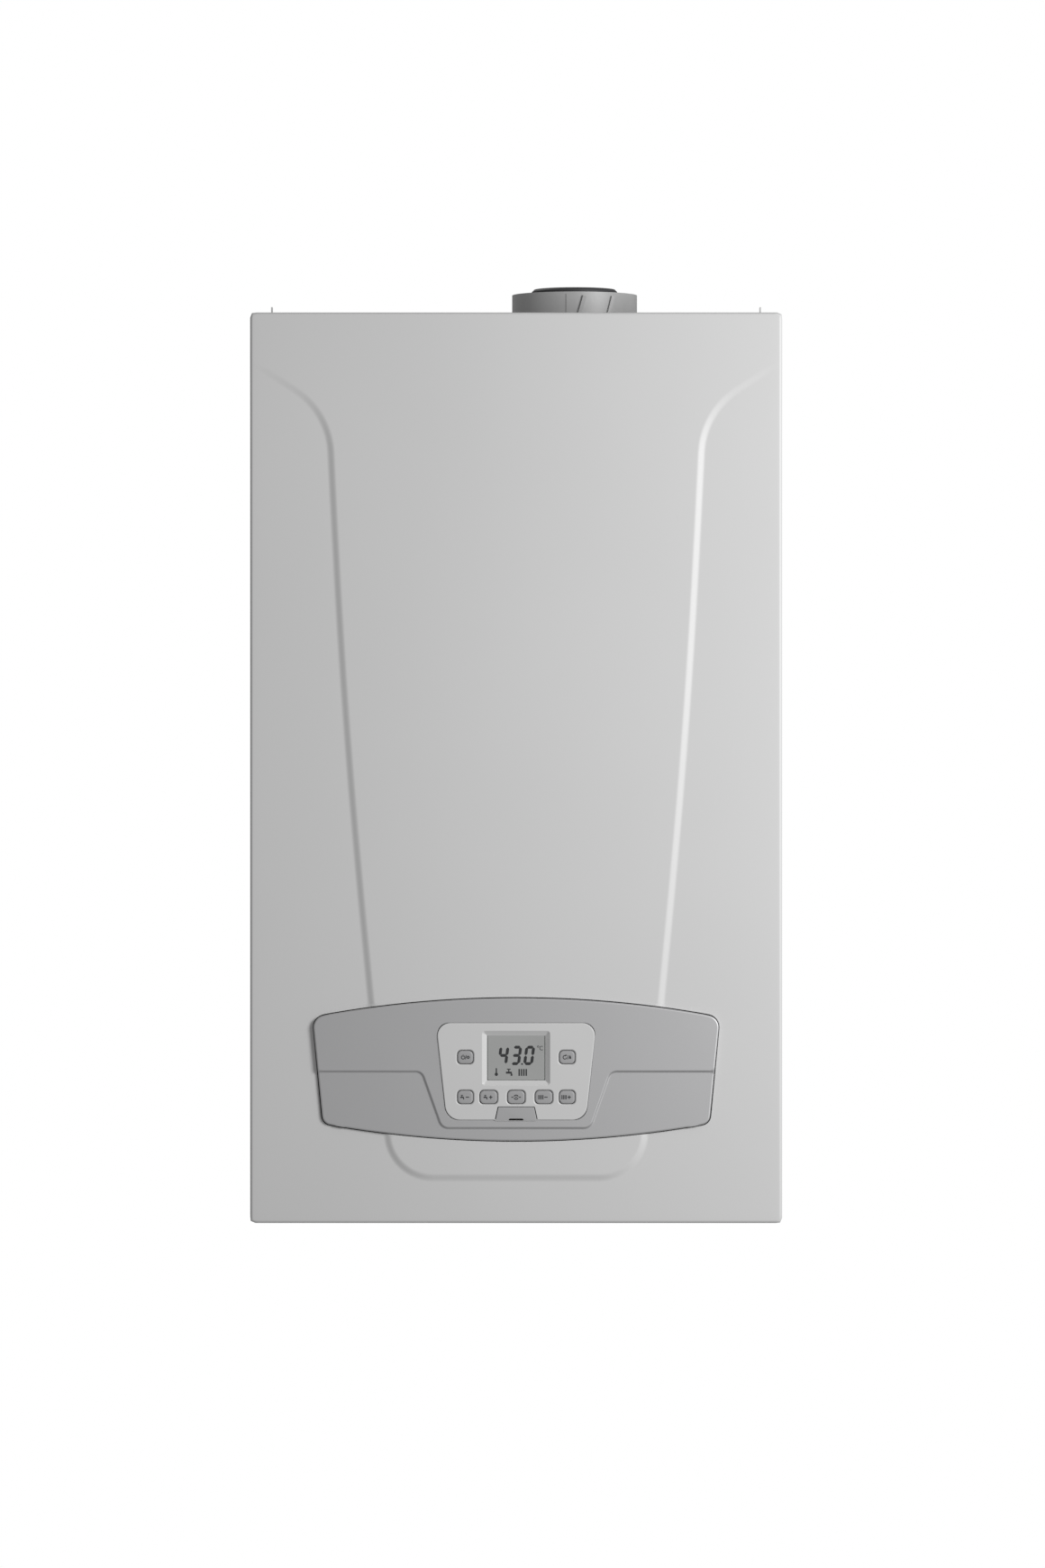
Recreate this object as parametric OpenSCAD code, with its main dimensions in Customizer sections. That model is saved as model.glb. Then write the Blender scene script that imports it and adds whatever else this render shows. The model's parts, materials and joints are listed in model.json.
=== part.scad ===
// Wall-hung condensing boiler: pressed steel casing, hinged console, concentric flue collar
// and the heating, gas and water parts that the casing holds.
// +Z is up, +X is to the right as seen from the front, and the front faces -Y.
// The wall plane is y = 0. The origin is midway between the two hanging slots.

/* [Casing] */
// Width of the casing
body_w = 450; // [440:1:480]
// Height of the casing
body_h = 770; // [765:1:800]
// Distance from the wall to the front of the raised shield
body_d = 345; // [345:1:365]
// Thickness of every steel sheet
sheet_t = 1.2; // [1:0.1:1.4]
// Depth of the cover's side returns
cover_return = 37.7; // [37:0.1:39]
// How far the shield stands out of the cover's side fields
shield_rise = 3; // [2:0.5:4]
// Width of the crease round the shield
crease_w = 5; // [4:0.5:6]
// Width of the casing's inward flanges
flange_w = 16; // [14:1:18]
// Height of the raised base tray over the casing's lower edge
tray_z = 48; // [46:1:50]
// Distance of the hanging slots below the casing's upper edge
hang_drop = 40; // [35:1:45]
// Distance between the hanging slots
hang_spacing = 300; // [280:5:320]
// Length of a hanging slot
slot_l = 18; // [14:1:22]
// Width of a hanging slot
slot_w = 9; // [7:0.5:11]

/* [Console] */
// Widest half of the console, at its upper corners
console_half = 172; // [168:1:174]
// Half width at the console's lower corners
console_low_half = 163.5; // [161:0.5:165]
// Top of the console at the middle, over the casing's lower edge
console_top = 190.4; // [189:0.2:192]
// Bottom of the console at the middle
console_bottom = 69.7; // [69:0.1:71]
// Radius of the bowed top and bottom edges
console_bow = 920; // [900:10:960]
// How far the console stands out of the shield
console_proud = 3.5; // [3:0.1:4]
// Gap between the console and the cover all round
console_gap = 1.5; // [1.4:0.1:1.8]
// Height of the console's hinge axis
hinge_z = 96; // [95:0.5:97]
// Radius of the console's hinge pins
hinge_pin_r = 1.75; // [1.5:0.25:2]
// Running clearance of every pin in its bore
pin_play = 0.05; // [0.03:0.01:0.08]
// Travel of a push button
button_travel = 0.8; // [0.5:0.1:1]

/* [Flue] */
// Sideways place of the flue axis
flue_x = 51; // [45:1:55]
// Distance of the flue axis from the wall
flue_y = 150; // [145:1:160]
// Outer diameter of the flue collar
collar_d = 109; // [108:0.5:110]
// Bore of the collar, for the outer air pipe
air_bore_d = 100.8; // [100.4:0.1:101.2]
// Height of the collar over the casing
collar_h = 27; // [24:1:30]
// Bore of the flue socket, for the inner pipe
flue_bore_d = 60.8; // [60.4:0.1:61.2]
// Height of the flue seal over the casing
seal_h = 32; // [29:1:34]
// Outer diameter of the flue seal
seal_d = 74.5; // [72:0.5:78]

/* [Water and gas] */
// Distance between neighbouring connection tails
tail_pitch = 65; // [62:1:68]
// Distance of the tails from the wall
tail_y = 105; // [100:1:110]
// Radius of the wide tails for heating and gas
wide_tail_r = 13.2; // [12.8:0.1:13.4]
// Radius of the narrow tails for tap water
narrow_tail_r = 10.5; // [10:0.1:10.8]
// Outer radius of the large copper pipes
pipe_r = 9; // [8:0.5:10]
// Outer radius of the gas pipe
gas_pipe_r = 7; // [6:0.5:8]
// Radius of the expansion vessel
vessel_r = 175; // [165:1:180]
// Thickness of the expansion vessel
vessel_t = 82; // [70:1:84]
// Radius of the heat exchanger
exchanger_r = 125; // [120:1:128]
// Radius of the fan housing
fan_r = 70; // [66:1:72]

/* [Hidden] */
$fn = 48;
gap = 0.3; // clear distance between bodies
over = 1; // how far a cut runs past a face
hang_h = body_h - hang_drop;
half_w = body_w / 2;
class_w = 450; // size of the standard casing that the inner parts are laid out in
class_h = 770;
class_d = 345;
fit = min(1, body_w / class_w, body_h / class_h, body_d / class_d); // smaller casing, smaller inner parts
wall_x = (half_w - sheet_t) / fit; // inner face of a side panel, in the space of the inner parts
inner_half = half_w - sheet_t;
field_y = body_d - shield_rise;
seam_y = field_y - cover_return;
seal_t = 3;
seal_w = 10;
edge_r = 2;
flange_front = seam_y - seal_t;
foot_r = 38;
foot_half = half_w - 154.2;
foot_z = console_bottom - 31.2;
flare_x = half_w - 1.4;
flare_z = body_h - 121.7;
flare_r = 67;
flare_turn = 33;
flare_top = body_h - 42;
side_low_half = half_w - 102.5;
side_slope = 0.0733;
side_bow = 3.6;
fade_z = body_h - 130;

// Unit vector along v
function unit(v) = v / norm(v);
// Vector v turned by angle a
function turned(v, a) = [v[0] * cos(a) - v[1] * sin(a), v[0] * sin(a) + v[1] * cos(a)];
// Points of corner b between a and c, rounded with radius r
function corner(a, b, c, r) =
    r <= 0 ? [b] :
    let (
        u = unit(a - b),
        v = unit(c - b),
        half = acos(u * v) / 2,
        centre = b + unit(u + v) * (r / sin(half)),
        start = b + u * (r / tan(half)) - centre,
        side = cross(u, v) < 0 ? 1 : -1
    )
    [for (i = [0 : 6]) centre + turned(start, side * (180 - 2 * half) * i / 6)];
// Polygon through corners [x, y, radius]
function rounded(list) = [
    for (i = [0 : len(list) - 1])
        let (n = len(list), p = list[(i + n - 1) % n], q = list[i], s = list[(i + 1) % n])
        each corner([p[0], p[1]], [q[0], q[1]], [s[0], s[1]], q[2])
];
// Corners of a centred rectangle with one radius
function box_corners(w, h, r) = [
    [-w / 2, -h / 2, r], [w / 2, -h / 2, r], [w / 2, h / 2, r], [-w / 2, h / 2, r]
];
// Depth of a bowed edge at distance x from the middle
function bow(x) = console_bow - sqrt(console_bow * console_bow - x * x);

// Half width of the shield at height z, drawn in by inset
function shield_side(z) = side_low_half + side_slope * (z - console_top + 5)
    + side_bow * sin(180 * (z - console_top + 5) / (flare_z - console_top + 9));
function shield_half(z, inset) =
    z < foot_z + foot_r ? foot_half + sqrt(max(0, pow(foot_r - inset, 2) - pow(foot_z + foot_r - z, 2)))
    : z < console_top - 5 ? foot_half + foot_r - inset
        + (side_low_half - foot_half - foot_r) * (z - foot_z - foot_r) / (console_top - 5 - foot_z - foot_r)
    : z < flare_z + 4 ? shield_side(z) - inset
    : let (r = flare_r + inset, end = flare_z + r * cos(flare_turn))
        z < end ? flare_x - sqrt(r * r - pow(z - flare_z, 2))
        : flare_x - r * sin(flare_turn) + (z - end) / tan(flare_turn);
// Depth of the side field behind the shield at height z
function field_depth(z) = z < fade_z ? shield_rise
    : z < flare_top ? shield_rise * (1 - pow((z - fade_z) / (flare_top - fade_z), 2)) : 0;
// Place the whole object so that the hanging slots lie at height 0
module hung() {
    translate([0, 0, -hang_h])
        children();
}
// Place of a value of the inner parts in the whole object: across, in front of the wall and up
function inner_x(x) = x * fit;
function inner_y(y) = sheet_t + (y - sheet_t) * fit;
function inner_up(z) = tray_z + sheet_t + (z - tray_z - sheet_t) * fit;
// Place the inner parts, drawn together towards the foot of the back panel in a smaller casing
module inner() {
    hung()
        translate([0, -inner_y(0), inner_up(0)])
            scale(fit)
                children();
}
// Extrude an outline drawn in x and z from depth near to depth far in front of the wall
module slab(near, far) {
    translate([0, -near, 0])
        rotate([90, 0, 0])
            linear_extrude(height = far - near)
                children();
}
// Cylinder along y from depth near to depth far, at x and z
module lying(x, z, near, far, r) {
    translate([x, -near, z])
        rotate([90, 0, 0])
            cylinder(r = r, h = far - near);
}
// Box between two corners, with y given as the distance in front of the wall
module block(x0, x1, near, far, z0, z1) {
    translate([x0, -far, z0])
        cube([x1 - x0, far - near, z1 - z0]);
}
// Straight round bar or pipe along x
module along_x(x0, x1, y, z, r) {
    translate([x0, -y, z])
        rotate([0, 90, 0])
            cylinder(r = r, h = x1 - x0);
}
// Upright round bar
module upright(x, y, z0, z1, r) {
    translate([x, -y, z0])
        cylinder(r = r, h = z1 - z0);
}
// Arc of radius r at corner b of a path from a to c
function bend(a, b, c, r) =
    let (
        u = unit(a - b),
        v = unit(c - b),
        half = acos(u * v) / 2,
        reach = min(r / tan(half), norm(a - b) / 2.2, norm(c - b) / 2.2),
        centre = b + unit(u + v) * (reach / cos(half)),
        start = b + u * reach - centre,
        finish = b + v * reach - centre,
        turn = 180 - 2 * half
    )
    [for (i = [0 : 5]) centre + (start * sin(turn * (5 - i) / 5) + finish * sin(turn * i / 5)) / sin(turn)];
function bent(p, r) = [
    p[0], for (i = [1 : 1 : len(p) - 2]) each bend(p[i - 1], p[i], p[i + 1], r), p[len(p) - 1]
];
function tangent(p, i) = unit(
    (i + 1 < len(p) ? unit(p[i + 1] - p[i]) : [0, 0, 0]) + (i > 0 ? unit(p[i] - p[i - 1]) : [0, 0, 0])
);
// Sideways direction of each ring, carried along the path without twist
function sideways(p, i, n) = i >= len(p) ? []
    : let (t = tangent(p, i), m = unit(n - (n * t) * t)) concat([m], sideways(p, i + 1, m));
// Round bar of radius r and n sides through points p
module sweep(p, r, n) {
    m = sideways(p, 0, [0.31, 0.52, 0.8]);
    last = (len(p) - 1) * n;
    polyhedron(
        points = [
            for (i = [0 : len(p) - 1], k = [0 : n - 1])
                p[i] + r * (m[i] * cos(360 * k / n) + cross(tangent(p, i), m[i]) * sin(360 * k / n))
        ],
        faces = concat(
            [for (k = [1 : n - 2]) [0, k, k + 1]],
            [for (k = [1 : n - 2]) [last, last + k + 1, last + k]],
            [for (i = [0 : len(p) - 2], k = [0 : n - 1]) each
                let (a = i * n + k, b = i * n + (k + 1) % n) [[b, a, a + n], [b, a + n, b + n]]]
        ),
        convexity = 10
    );
}
// Pipe of radius r bent through points
module pipe_run(points, r) {
    sweep(bent(points, 2.5 * r), r, 16);
}

// Ring of flat bar round the casing's front, drawn in x and z
module casing_ring(outer, inner) {
    difference() {
        translate([-half_w + outer, outer])
            square([body_w - 2 * outer, body_h - 2 * outer]);
        translate([-half_w + inner, inner])
            square([body_w - 2 * inner, body_h - 2 * inner]);
    }
}
// Outline of the console, larger by grow all round
function console_outline(grow) =
    let (
        side = (console_half - console_low_half) / (console_top - console_bottom),
        top = [for (x = [-9 : 9]) let (w = (console_half - 12) * x / 9) [w, console_top + grow - bow(w)]],
        low = [
            for (x = [9 : -1 : -9]) let (w = (console_low_half - 9) * x / 9) [w, console_bottom - grow + bow(w)]
        ],
        z0 = console_bottom + bow(console_low_half),
        z1 = console_top - bow(console_half),
        upper = corner(
            top[17], [console_half + grow, z1 + grow - 0.4], [console_low_half + grow, z0], 10 + grow
        ),
        lower = corner(
            [console_half + grow, z1], [console_low_half + grow - side, z0 - grow], low[1], 8 + grow
        )
    )
    concat(
        [for (i = [1 : 17]) top[i]], upper, lower, [for (i = [1 : 17]) low[i]],
        [for (i = [6 : -1 : 0]) [-lower[i][0], lower[i][1]]],
        [for (i = [6 : -1 : 0]) [-upper[i][0], upper[i][1]]]
    );
// Rows of the pressed face from the bottom edge to the top edge
face_rows = concat(
    [0, edge_r, foot_z],
    [for (a = [30 : 15 : 90]) foot_z + foot_r * (1 - cos(a))],
    [for (k = [0 : 8]) console_top - 5 + (flare_z + 9 - console_top) * k / 8],
    [for (k = [1 : 6]) flare_z + 4 + (flare_r * cos(flare_turn) - 4) * k / 6],
    [flare_top - 16, flare_top - 8, flare_top, body_h - edge_r, body_h]
);
// Width and depth of the pressed face's points in the row at height z, from the middle to the edge
function face_row(z) =
    let (
        edge = z < edge_r || z > body_h - edge_r,
        raised = z > foot_z && z < flare_top,
        limit = half_w - edge_r - 0.5,
        crest = edge ? field_y - edge_r : body_d - (z > foot_z ? 0 : shield_rise),
        field = edge ? field_y - edge_r : body_d - field_depth(z),
        outer = raised ? min(limit, shield_half(z, 0)) : z < foot_z + 1 ? foot_half : limit,
        inner = raised ? min(limit - 1, shield_half(z, crease_w)) : outer - crease_w
    )
    [[inner, crest], [outer, field], [half_w - edge_r, field], [half_w, field_y - edge_r]];
// One skin of the pressed face, moved back by the sheet's thickness t
function face_skin(t) = [
    for (z = face_rows)
        let (row = face_row(z), height = min(max(z, t), body_h - t),
            edge = z < edge_r || z > body_h - edge_r)
        each [
            for (i = [3 : -1 : 0])
                [-min(row[i][0], half_w - t), -row[i][1] + (i == 3 || edge ? 0 : t), height],
            for (i = [0 : 3]) [min(row[i][0], half_w - t), -row[i][1] + (i == 3 || edge ? 0 : t), height]
        ]
];
module pressed_face() {
    front = face_skin(0);
    back = face_skin(sheet_t);
    n = len(front);
    rows = len(face_rows);
    polyhedron(
        points = concat(front, back),
        faces = concat(
            [for (i = [0 : rows - 2], j = [0 : 6]) each
                let (a = i * 8 + j) [[a, a + 8, a + 9], [a, a + 9, a + 1]]],
            [for (i = [0 : rows - 2], j = [0 : 6]) each
                let (a = n + i * 8 + j) [[a, a + 1, a + 9], [a, a + 9, a + 8]]],
            [for (j = [0 : 6]) each [[j, j + 1, n + j + 1], [j, n + j + 1, n + j]]],
            [for (j = [0 : 6]) each
                let (a = (rows - 1) * 8 + j) [[a + 1, a, n + a], [a + 1, n + a, n + a + 1]]],
            [for (i = [0 : rows - 2]) each let (a = i * 8) [[a + 8, a, n + a], [a + 8, n + a, n + a + 8]]],
            [for (i = [0 : rows - 2]) each
                let (a = i * 8 + 7) [[a, a + 8, n + a + 8], [a, n + a + 8, n + a]]]
        ),
        convexity = 6
    );
}
module front_cover() {
    color("gainsboro") hung() {
        difference() {
            union() {
                pressed_face();
                slab(seam_y + gap, field_y - edge_r)
                    casing_ring(0, sheet_t);
            }
            slab(field_y - 2 * shield_rise, body_d + over)
                polygon(console_outline(console_gap));
        }
        slab(seam_y + gap, seam_y + gap + sheet_t)
            casing_ring(sheet_t, seal_w + 2);
    }
}
module cover_seal() {
    color("dimgray") hung()
        slab(flange_front, seam_y)
            casing_ring(2, seal_w + 2);
}
module side_panel(side) {
    color("gainsboro") hung()
        mirror([side < 0 ? 1 : 0, 0, 0]) {
            block(inner_half, half_w, 0, seam_y, 0, body_h - sheet_t);
            block(half_w - flange_w, inner_half, flange_front - sheet_t, flange_front, 2,
                body_h - 2 * sheet_t);
            block(half_w - flange_w, inner_half, sheet_t, flange_front, body_h - 2 * sheet_t,
                body_h - sheet_t);
        }
}
module left_side_panel() {
    side_panel(-1);
}
module right_side_panel() {
    side_panel(1);
}
lug_x = half_w - 17;
lug_h = 7;
lug_l = 12;
screw_r = 2;
screw_steps = [60, 160, 260];
module top_panel() {
    color("gainsboro") hung() {
        difference() {
            block(-half_w, half_w, 0, seam_y, body_h - sheet_t, body_h);
            upright(inner_x(flue_x), inner_y(flue_y), body_h - over - sheet_t, body_h + over,
                air_bore_d / 2);
            for (x = [-1, 1], y = screw_steps)
                upright(x * (half_w - flange_w / 2), y, body_h - over - sheet_t, body_h + over,
                    screw_r + 0.3);
        }
        block(-half_w + flange_w, half_w - flange_w, flange_front - sheet_t, flange_front,
            body_h - flange_w, body_h - sheet_t);
        for (x = [-1, 1])
            block(x * lug_x - sheet_t / 2, x * lug_x + sheet_t / 2, seam_y - lug_l, seam_y, body_h,
                body_h + lug_h);
    }
}
module frame_screws() {
    color("silver") hung()
        for (x = [-1, 1], y = screw_steps)
            upright(x * (half_w - flange_w / 2), y, body_h, body_h + 2.2, screw_r * 2);
}
carrier_y = tail_y;
carrier_x = vessel_r + 12;
exchanger_x = 10;
exchanger_z = max(body_h, class_h) - 255;
carrier_half = 60;
carrier_t = 2;
module back_panel() {
    color("silver") {
        hung()
            difference() {
                block(-inner_half, inner_half, 0, sheet_t, 2, body_h - sheet_t);
                for (x = [-1, 1])
                    slab(-over, sheet_t + over)
                        translate([x * hang_spacing / 2, hang_h]) {
                            square([slot_l - slot_w, slot_w], center = true);
                            for (e = [-1, 1])
                                translate([e * (slot_l - slot_w) / 2, 0])
                                    circle(d = slot_w);
                        }
            }
        inner() {
            for (x = [-1, 1])
                block(x * carrier_x - carrier_t / 2, x * carrier_x + carrier_t / 2, sheet_t / 2, carrier_y,
                    exchanger_z - carrier_half, exchanger_z + carrier_half);
            block(-carrier_x - carrier_t / 2, carrier_x + carrier_t / 2, carrier_y - carrier_t, carrier_y,
                exchanger_z - carrier_half / 2, exchanger_z + carrier_half / 2);
        }
    }
}
tail_x = [-2, -1, 0, 1, 2];
tail_radius = [wide_tail_r, narrow_tail_r, wide_tail_r, narrow_tail_r, wide_tail_r];
tail_end = 5;
block_z = 54;
trap_x = -185;
trap_y = 190;
neck_r = 20;
outlet_x = -142;
outlet_r = 10.75;
relief_x = 185;
relief_r = 7.5;
module tray_hole(x, y, r) {
    upright(inner_x(x), inner_y(y), tray_z - over, tray_z + sheet_t + over, r);
}
module base_tray() {
    color("silver") hung() {
        difference() {
            block(-inner_half, inner_half, sheet_t, flange_front - sheet_t, tray_z, tray_z + sheet_t);
            for (i = [0 : 4])
                tray_hole(tail_x[i] * tail_pitch, tail_y, tail_radius[i] + gap);
            tray_hole(trap_x, trap_y, neck_r + gap);
            tray_hole(outlet_x, trap_y, outlet_r + outlet_lip + gap);
            tray_hole(relief_x, tail_y, relief_r + outlet_lip + gap);
        }
        block(-half_w + flange_w, half_w - flange_w, flange_front - sheet_t, flange_front, 2,
            tray_z + sheet_t);
    }
}
module cover_guides() {
    color("silver") hung()
        for (x = [-half_w + 75, half_w - 75]) {
            block(x - 12, x + 12, flange_front, flange_front + sheet_t, seal_w + 2 + gap, seal_w + 16);
            block(x - 12, x + 12, flange_front, seam_y + 16, seal_w + 2 + gap, seal_w + 2 + gap + sheet_t);
        }
}

// Values of the console
fascia_front = body_d + console_proud;
wing_front = fascia_front - 1.5;
plate_back = fascia_front - 4;
skirt_back = fascia_front - 24;
skirt_t = 2;
step_z = 127.4;
tongue_half = 63.5;
tongue_top_half = 80.5;
tongue_z = 79.6;
bezel_front = fascia_front + 0.8;
bezel_skin = bezel_front - 2.5;
bezel_back = plate_back - 1.2;
bezel_half = 59;
bezel_top_half = 67.8;
bezel_z = 87.4;
bezel_top = 169.5;
hinge_y = fascia_front - 7;
ear_x = 143;
ear_t = 3;
arm_r = 3.4;
arm_t = 5;
board_y = fascia_front - 10.5;
lcd_w = 48.3;
lcd_h = 39.4;
lcd_z = 140.9;
lcd_depth = 3;
button_h = 11;
button_row = 106.8;
button_upper = 140.5;
// Place and width of each button: across, up, width
buttons = [
    [-43, button_upper, 13], [43, button_upper, 13], [-43, button_row, 13], [-23.3, button_row, 14.5],
    [0, button_row, 14.5], [23.3, button_row, 14.5], [43, button_row, 13]
];
flap_z = 97.2;
flap_r = 1.4;
flap_half = 15.2;
flap_low_half = 17.8;
flap_bottom = 86.7;
flap_y = bezel_front - flap_r;
flap_pin_r = 0.8;
function bezel_outline(grow) = rounded([
    [-bezel_half - grow, bezel_z - grow, 9], [bezel_half + grow, bezel_z - grow, 9],
    [bezel_top_half + grow, bezel_top + grow, 10], [-bezel_top_half - grow, bezel_top + grow, 10]
]);
module console_fascia() {
    color("darkgray") hung()
        difference() {
            union() {
                hull() {
                    slab(plate_back, wing_front - 1.2)
                        polygon(console_outline(0));
                    slab(plate_back, wing_front)
                        polygon(console_outline(-1.2));
                }
                intersection() {
                    slab(plate_back + 1, fascia_front)
                        polygon(console_outline(-1.4));
                    slab(plate_back, fascia_front + over)
                        polygon(rounded([
                            [-tongue_half, tongue_z, 9], [tongue_half, tongue_z, 9],
                            [tongue_top_half, step_z, 6],
                            [console_half + 30, step_z, 0], [console_half + 30, console_top + 30, 0],
                            [-console_half - 30, console_top + 30, 0], [-console_half - 30, step_z, 0],
                            [-tongue_top_half, step_z, 6]
                        ]));
                }
                difference() {
                    slab(skirt_back, plate_back)
                        polygon(console_outline(-0.6));
                    slab(skirt_back - over, plate_back)
                        polygon(console_outline(-0.6 - skirt_t));
                    for (x = [-1, 1])
                        block(
                            min(x * (ear_x + ear_t), x * (ear_x + ear_t + arm_t + 1.5)),
                            max(x * (ear_x + ear_t), x * (ear_x + ear_t + arm_t + 1.5)),
                            skirt_back - over, plate_back, hinge_z - 18, hinge_z + arm_r + over
                        );
                }
                for (x = [-1, 1]) {
                    block(
                        min(x * ear_x, x * (ear_x + ear_t)), max(x * ear_x, x * (ear_x + ear_t)),
                        hinge_y - 5, plate_back, hinge_z - 4, hinge_z + 6
                    );
                    along_x(
                        min(x * ear_x, x * (ear_x + ear_t + arm_t + 0.8)),
                        max(x * ear_x, x * (ear_x + ear_t + arm_t + 0.8)), hinge_y, hinge_z, hinge_pin_r
                    );
                }
            }
            slab(plate_back - over, fascia_front + over)
                polygon(bezel_outline(0));
            block(-flap_low_half - 1, flap_low_half + 1, flap_y - 0.5, fascia_front + over,
                flap_bottom - 1, bezel_z + over);
            for (x = [-1, 1])
                block(
                    min(x * (ear_x + ear_t), x * (ear_x + ear_t + arm_t + 1.5)),
                    max(x * (ear_x + ear_t), x * (ear_x + ear_t + arm_t + 1.5)),
                    hinge_y + hinge_pin_r + over, hinge_y + arm_r + gap, hinge_z - 18,
                        hinge_z + arm_r + over
                );
        }
}
module display_bezel() {
    color("whitesmoke") hung()
        difference() {
            union() {
                difference() {
                    union() {
                        slab(bezel_back, bezel_front)
                            polygon(bezel_outline(-0.1));
                        slab(bezel_back, plate_back - 0.1)
                            polygon(bezel_outline(2));
                    }
                    slab(bezel_back - over, bezel_skin)
                        polygon(bezel_outline(-2));
                }
                block(-lcd_w / 2 - 7, lcd_w / 2 + 7, bezel_back + 1.5, bezel_skin, lcd_z - 26, lcd_z + 25);
                block(-flap_low_half - 4, flap_low_half + 4, bezel_back, bezel_skin, bezel_z + over,
                    flap_z + 2.6);
                for (x = [-54, 54], z = [94.5, 160])
                    lying(x, z, board_y, bezel_skin, 2.5);
            }
            hull() {
                slab(bezel_front, bezel_front + over)
                    translate([0, lcd_z - 1.1])
                        square([lcd_w + 8.9, lcd_h + 6.3], center = true);
                slab(bezel_front - lcd_depth - 0.1, bezel_front - lcd_depth)
                    translate([0, lcd_z])
                        square([lcd_w, lcd_h], center = true);
            }
            block(-lcd_w / 2 - 3, lcd_w / 2 + 3, bezel_back, bezel_front - lcd_depth, lcd_z - 22.7,
                lcd_z + 22.7);
            for (b = buttons)
                slab(bezel_back - over, bezel_front + over)
                    translate([b[0], b[1]])
                        polygon(rounded(box_corners(b[2] + 2 * gap, button_h + 2 * gap, 3.8)));
            slab(flap_y - gap, bezel_front + over)
                polygon([
                    [-flap_low_half - gap, flap_bottom - 2], [flap_low_half + gap, flap_bottom - 2],
                    [flap_half + 3 * gap, flap_z + flap_r + gap],
                    [-flap_half - 3 * gap, flap_z + flap_r + gap]
                ]);
            along_x(-flap_half - 3 * gap, flap_half + 3 * gap, flap_y, flap_z, flap_r + gap);
            along_x(-flap_half - 2.5, flap_half + 2.5, flap_y, flap_z, flap_pin_r + pin_play);
            block(-9, 9, bezel_back + over, bezel_front, bezel_z + 2, flap_z - 2.5);
        }
}
module display_lens() {
    color([0.6, 0.62, 0.6, 0.6]) hung()
        block(-lcd_w / 2 - 2.8, lcd_w / 2 + 2.8, bezel_front - lcd_depth - 1.5, bezel_front - lcd_depth,
            lcd_z - 22.5, lcd_z + 22.5);
}
module display_board() {
    color("seagreen") hung() {
        block(-60, 60, board_y - 1.6, board_y, bezel_z + 4, bezel_top - 3.5);
        block(-lcd_w / 2 - 2, lcd_w / 2 + 2, board_y, bezel_front - lcd_depth - 1.6, lcd_z - 21,
            lcd_z + 21);
        for (b = buttons)
            block(b[0] - 3, b[0] + 3, board_y, board_y + 1, b[1] - 3, b[1] + 3);
    }
}
module push_button(i) {
    b = buttons[i];
    color("gray") hung() {
        slab(bezel_skin - gap, bezel_front + gap)
            translate([b[0], b[1]])
                polygon(rounded(box_corners(b[2], button_h, 3.5)));
        slab(bezel_skin - 1.5, bezel_skin - gap)
            translate([b[0], b[1]])
                polygon(rounded(box_corners(b[2] + 2, button_h + 2, 4.5)));
        lying(b[0], b[1], board_y + 1 + button_travel + gap, bezel_skin - 1.5, 1.5);
    }
}
module service_flap() {
    color("lightgray") hung()
        difference() {
            union() {
                slab(flap_y, bezel_front)
                    polygon([
                        [-flap_low_half, flap_bottom], [flap_low_half, flap_bottom],
                        [flap_half, flap_z], [-flap_half, flap_z]
                    ]);
                along_x(-flap_half, flap_half, flap_y, flap_z, flap_r - 0.05);
                along_x(-flap_half - 2.2, flap_half + 2.2, flap_y, flap_z, flap_pin_r);
            }
            block(-5.4, 5.4, flap_y + 0.6, bezel_front + over, flap_bottom - over, flap_bottom + 1.2);
        }
}
box_half = half_w - 35;
box_z = 62;
box_top = 196;
box_front = fascia_front - 40.5;
box_back = box_front - 76 * fit;
box_t = 2.5;
box_foot_h = 3.5;
box_foot_r = 4;
strut_z = 110;
strut_h = 40;
strut_l = 16;
module control_box() {
    color("dimgray") hung()
        difference() {
            union() {
                difference() {
                    block(-box_half, box_half, box_back, box_front, box_z, box_top);
                    block(-box_half + box_t, box_half - box_t, box_back + box_t, box_front + over,
                        box_z + box_t, box_top - box_t);
                }
                for (x = [-box_half + 25, box_half - 25], z = [box_z + 18, box_top - 18])
                    lying(x, z, box_back + box_t, box_back + box_t + box_foot_h, box_foot_r);
                for (x = [-1, 1]) {
                    block(min(x * box_half, x * inner_half), max(x * box_half, x * inner_half),
                        box_back + 4, box_back + 4 + strut_l, strut_z, strut_z + strut_h);
                    translate([x > 0 ? ear_x + ear_t + gap : -ear_x - ear_t - gap - arm_t, 0, 0]) {
                        block(0, arm_t, box_front - 12, hinge_y, hinge_z - arm_r + 0.1,
                            hinge_z + arm_r - 0.1);
                        block(0, arm_t, box_front - 12, box_front, box_z, hinge_z);
                        along_x(0, arm_t, hinge_y, hinge_z, arm_r);
                    }
                }
            }
            along_x(-box_half, box_half, hinge_y, hinge_z, hinge_pin_r + pin_play);
        }
}
board_near = box_back + box_t + box_foot_h;
board_t = 1.6;
board_left = 18 - box_half;
board_right = box_half - 50;
relay_pitch = 20;
relay_w = 15;
socket_pitch = 32;
socket_w = 26;
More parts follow.
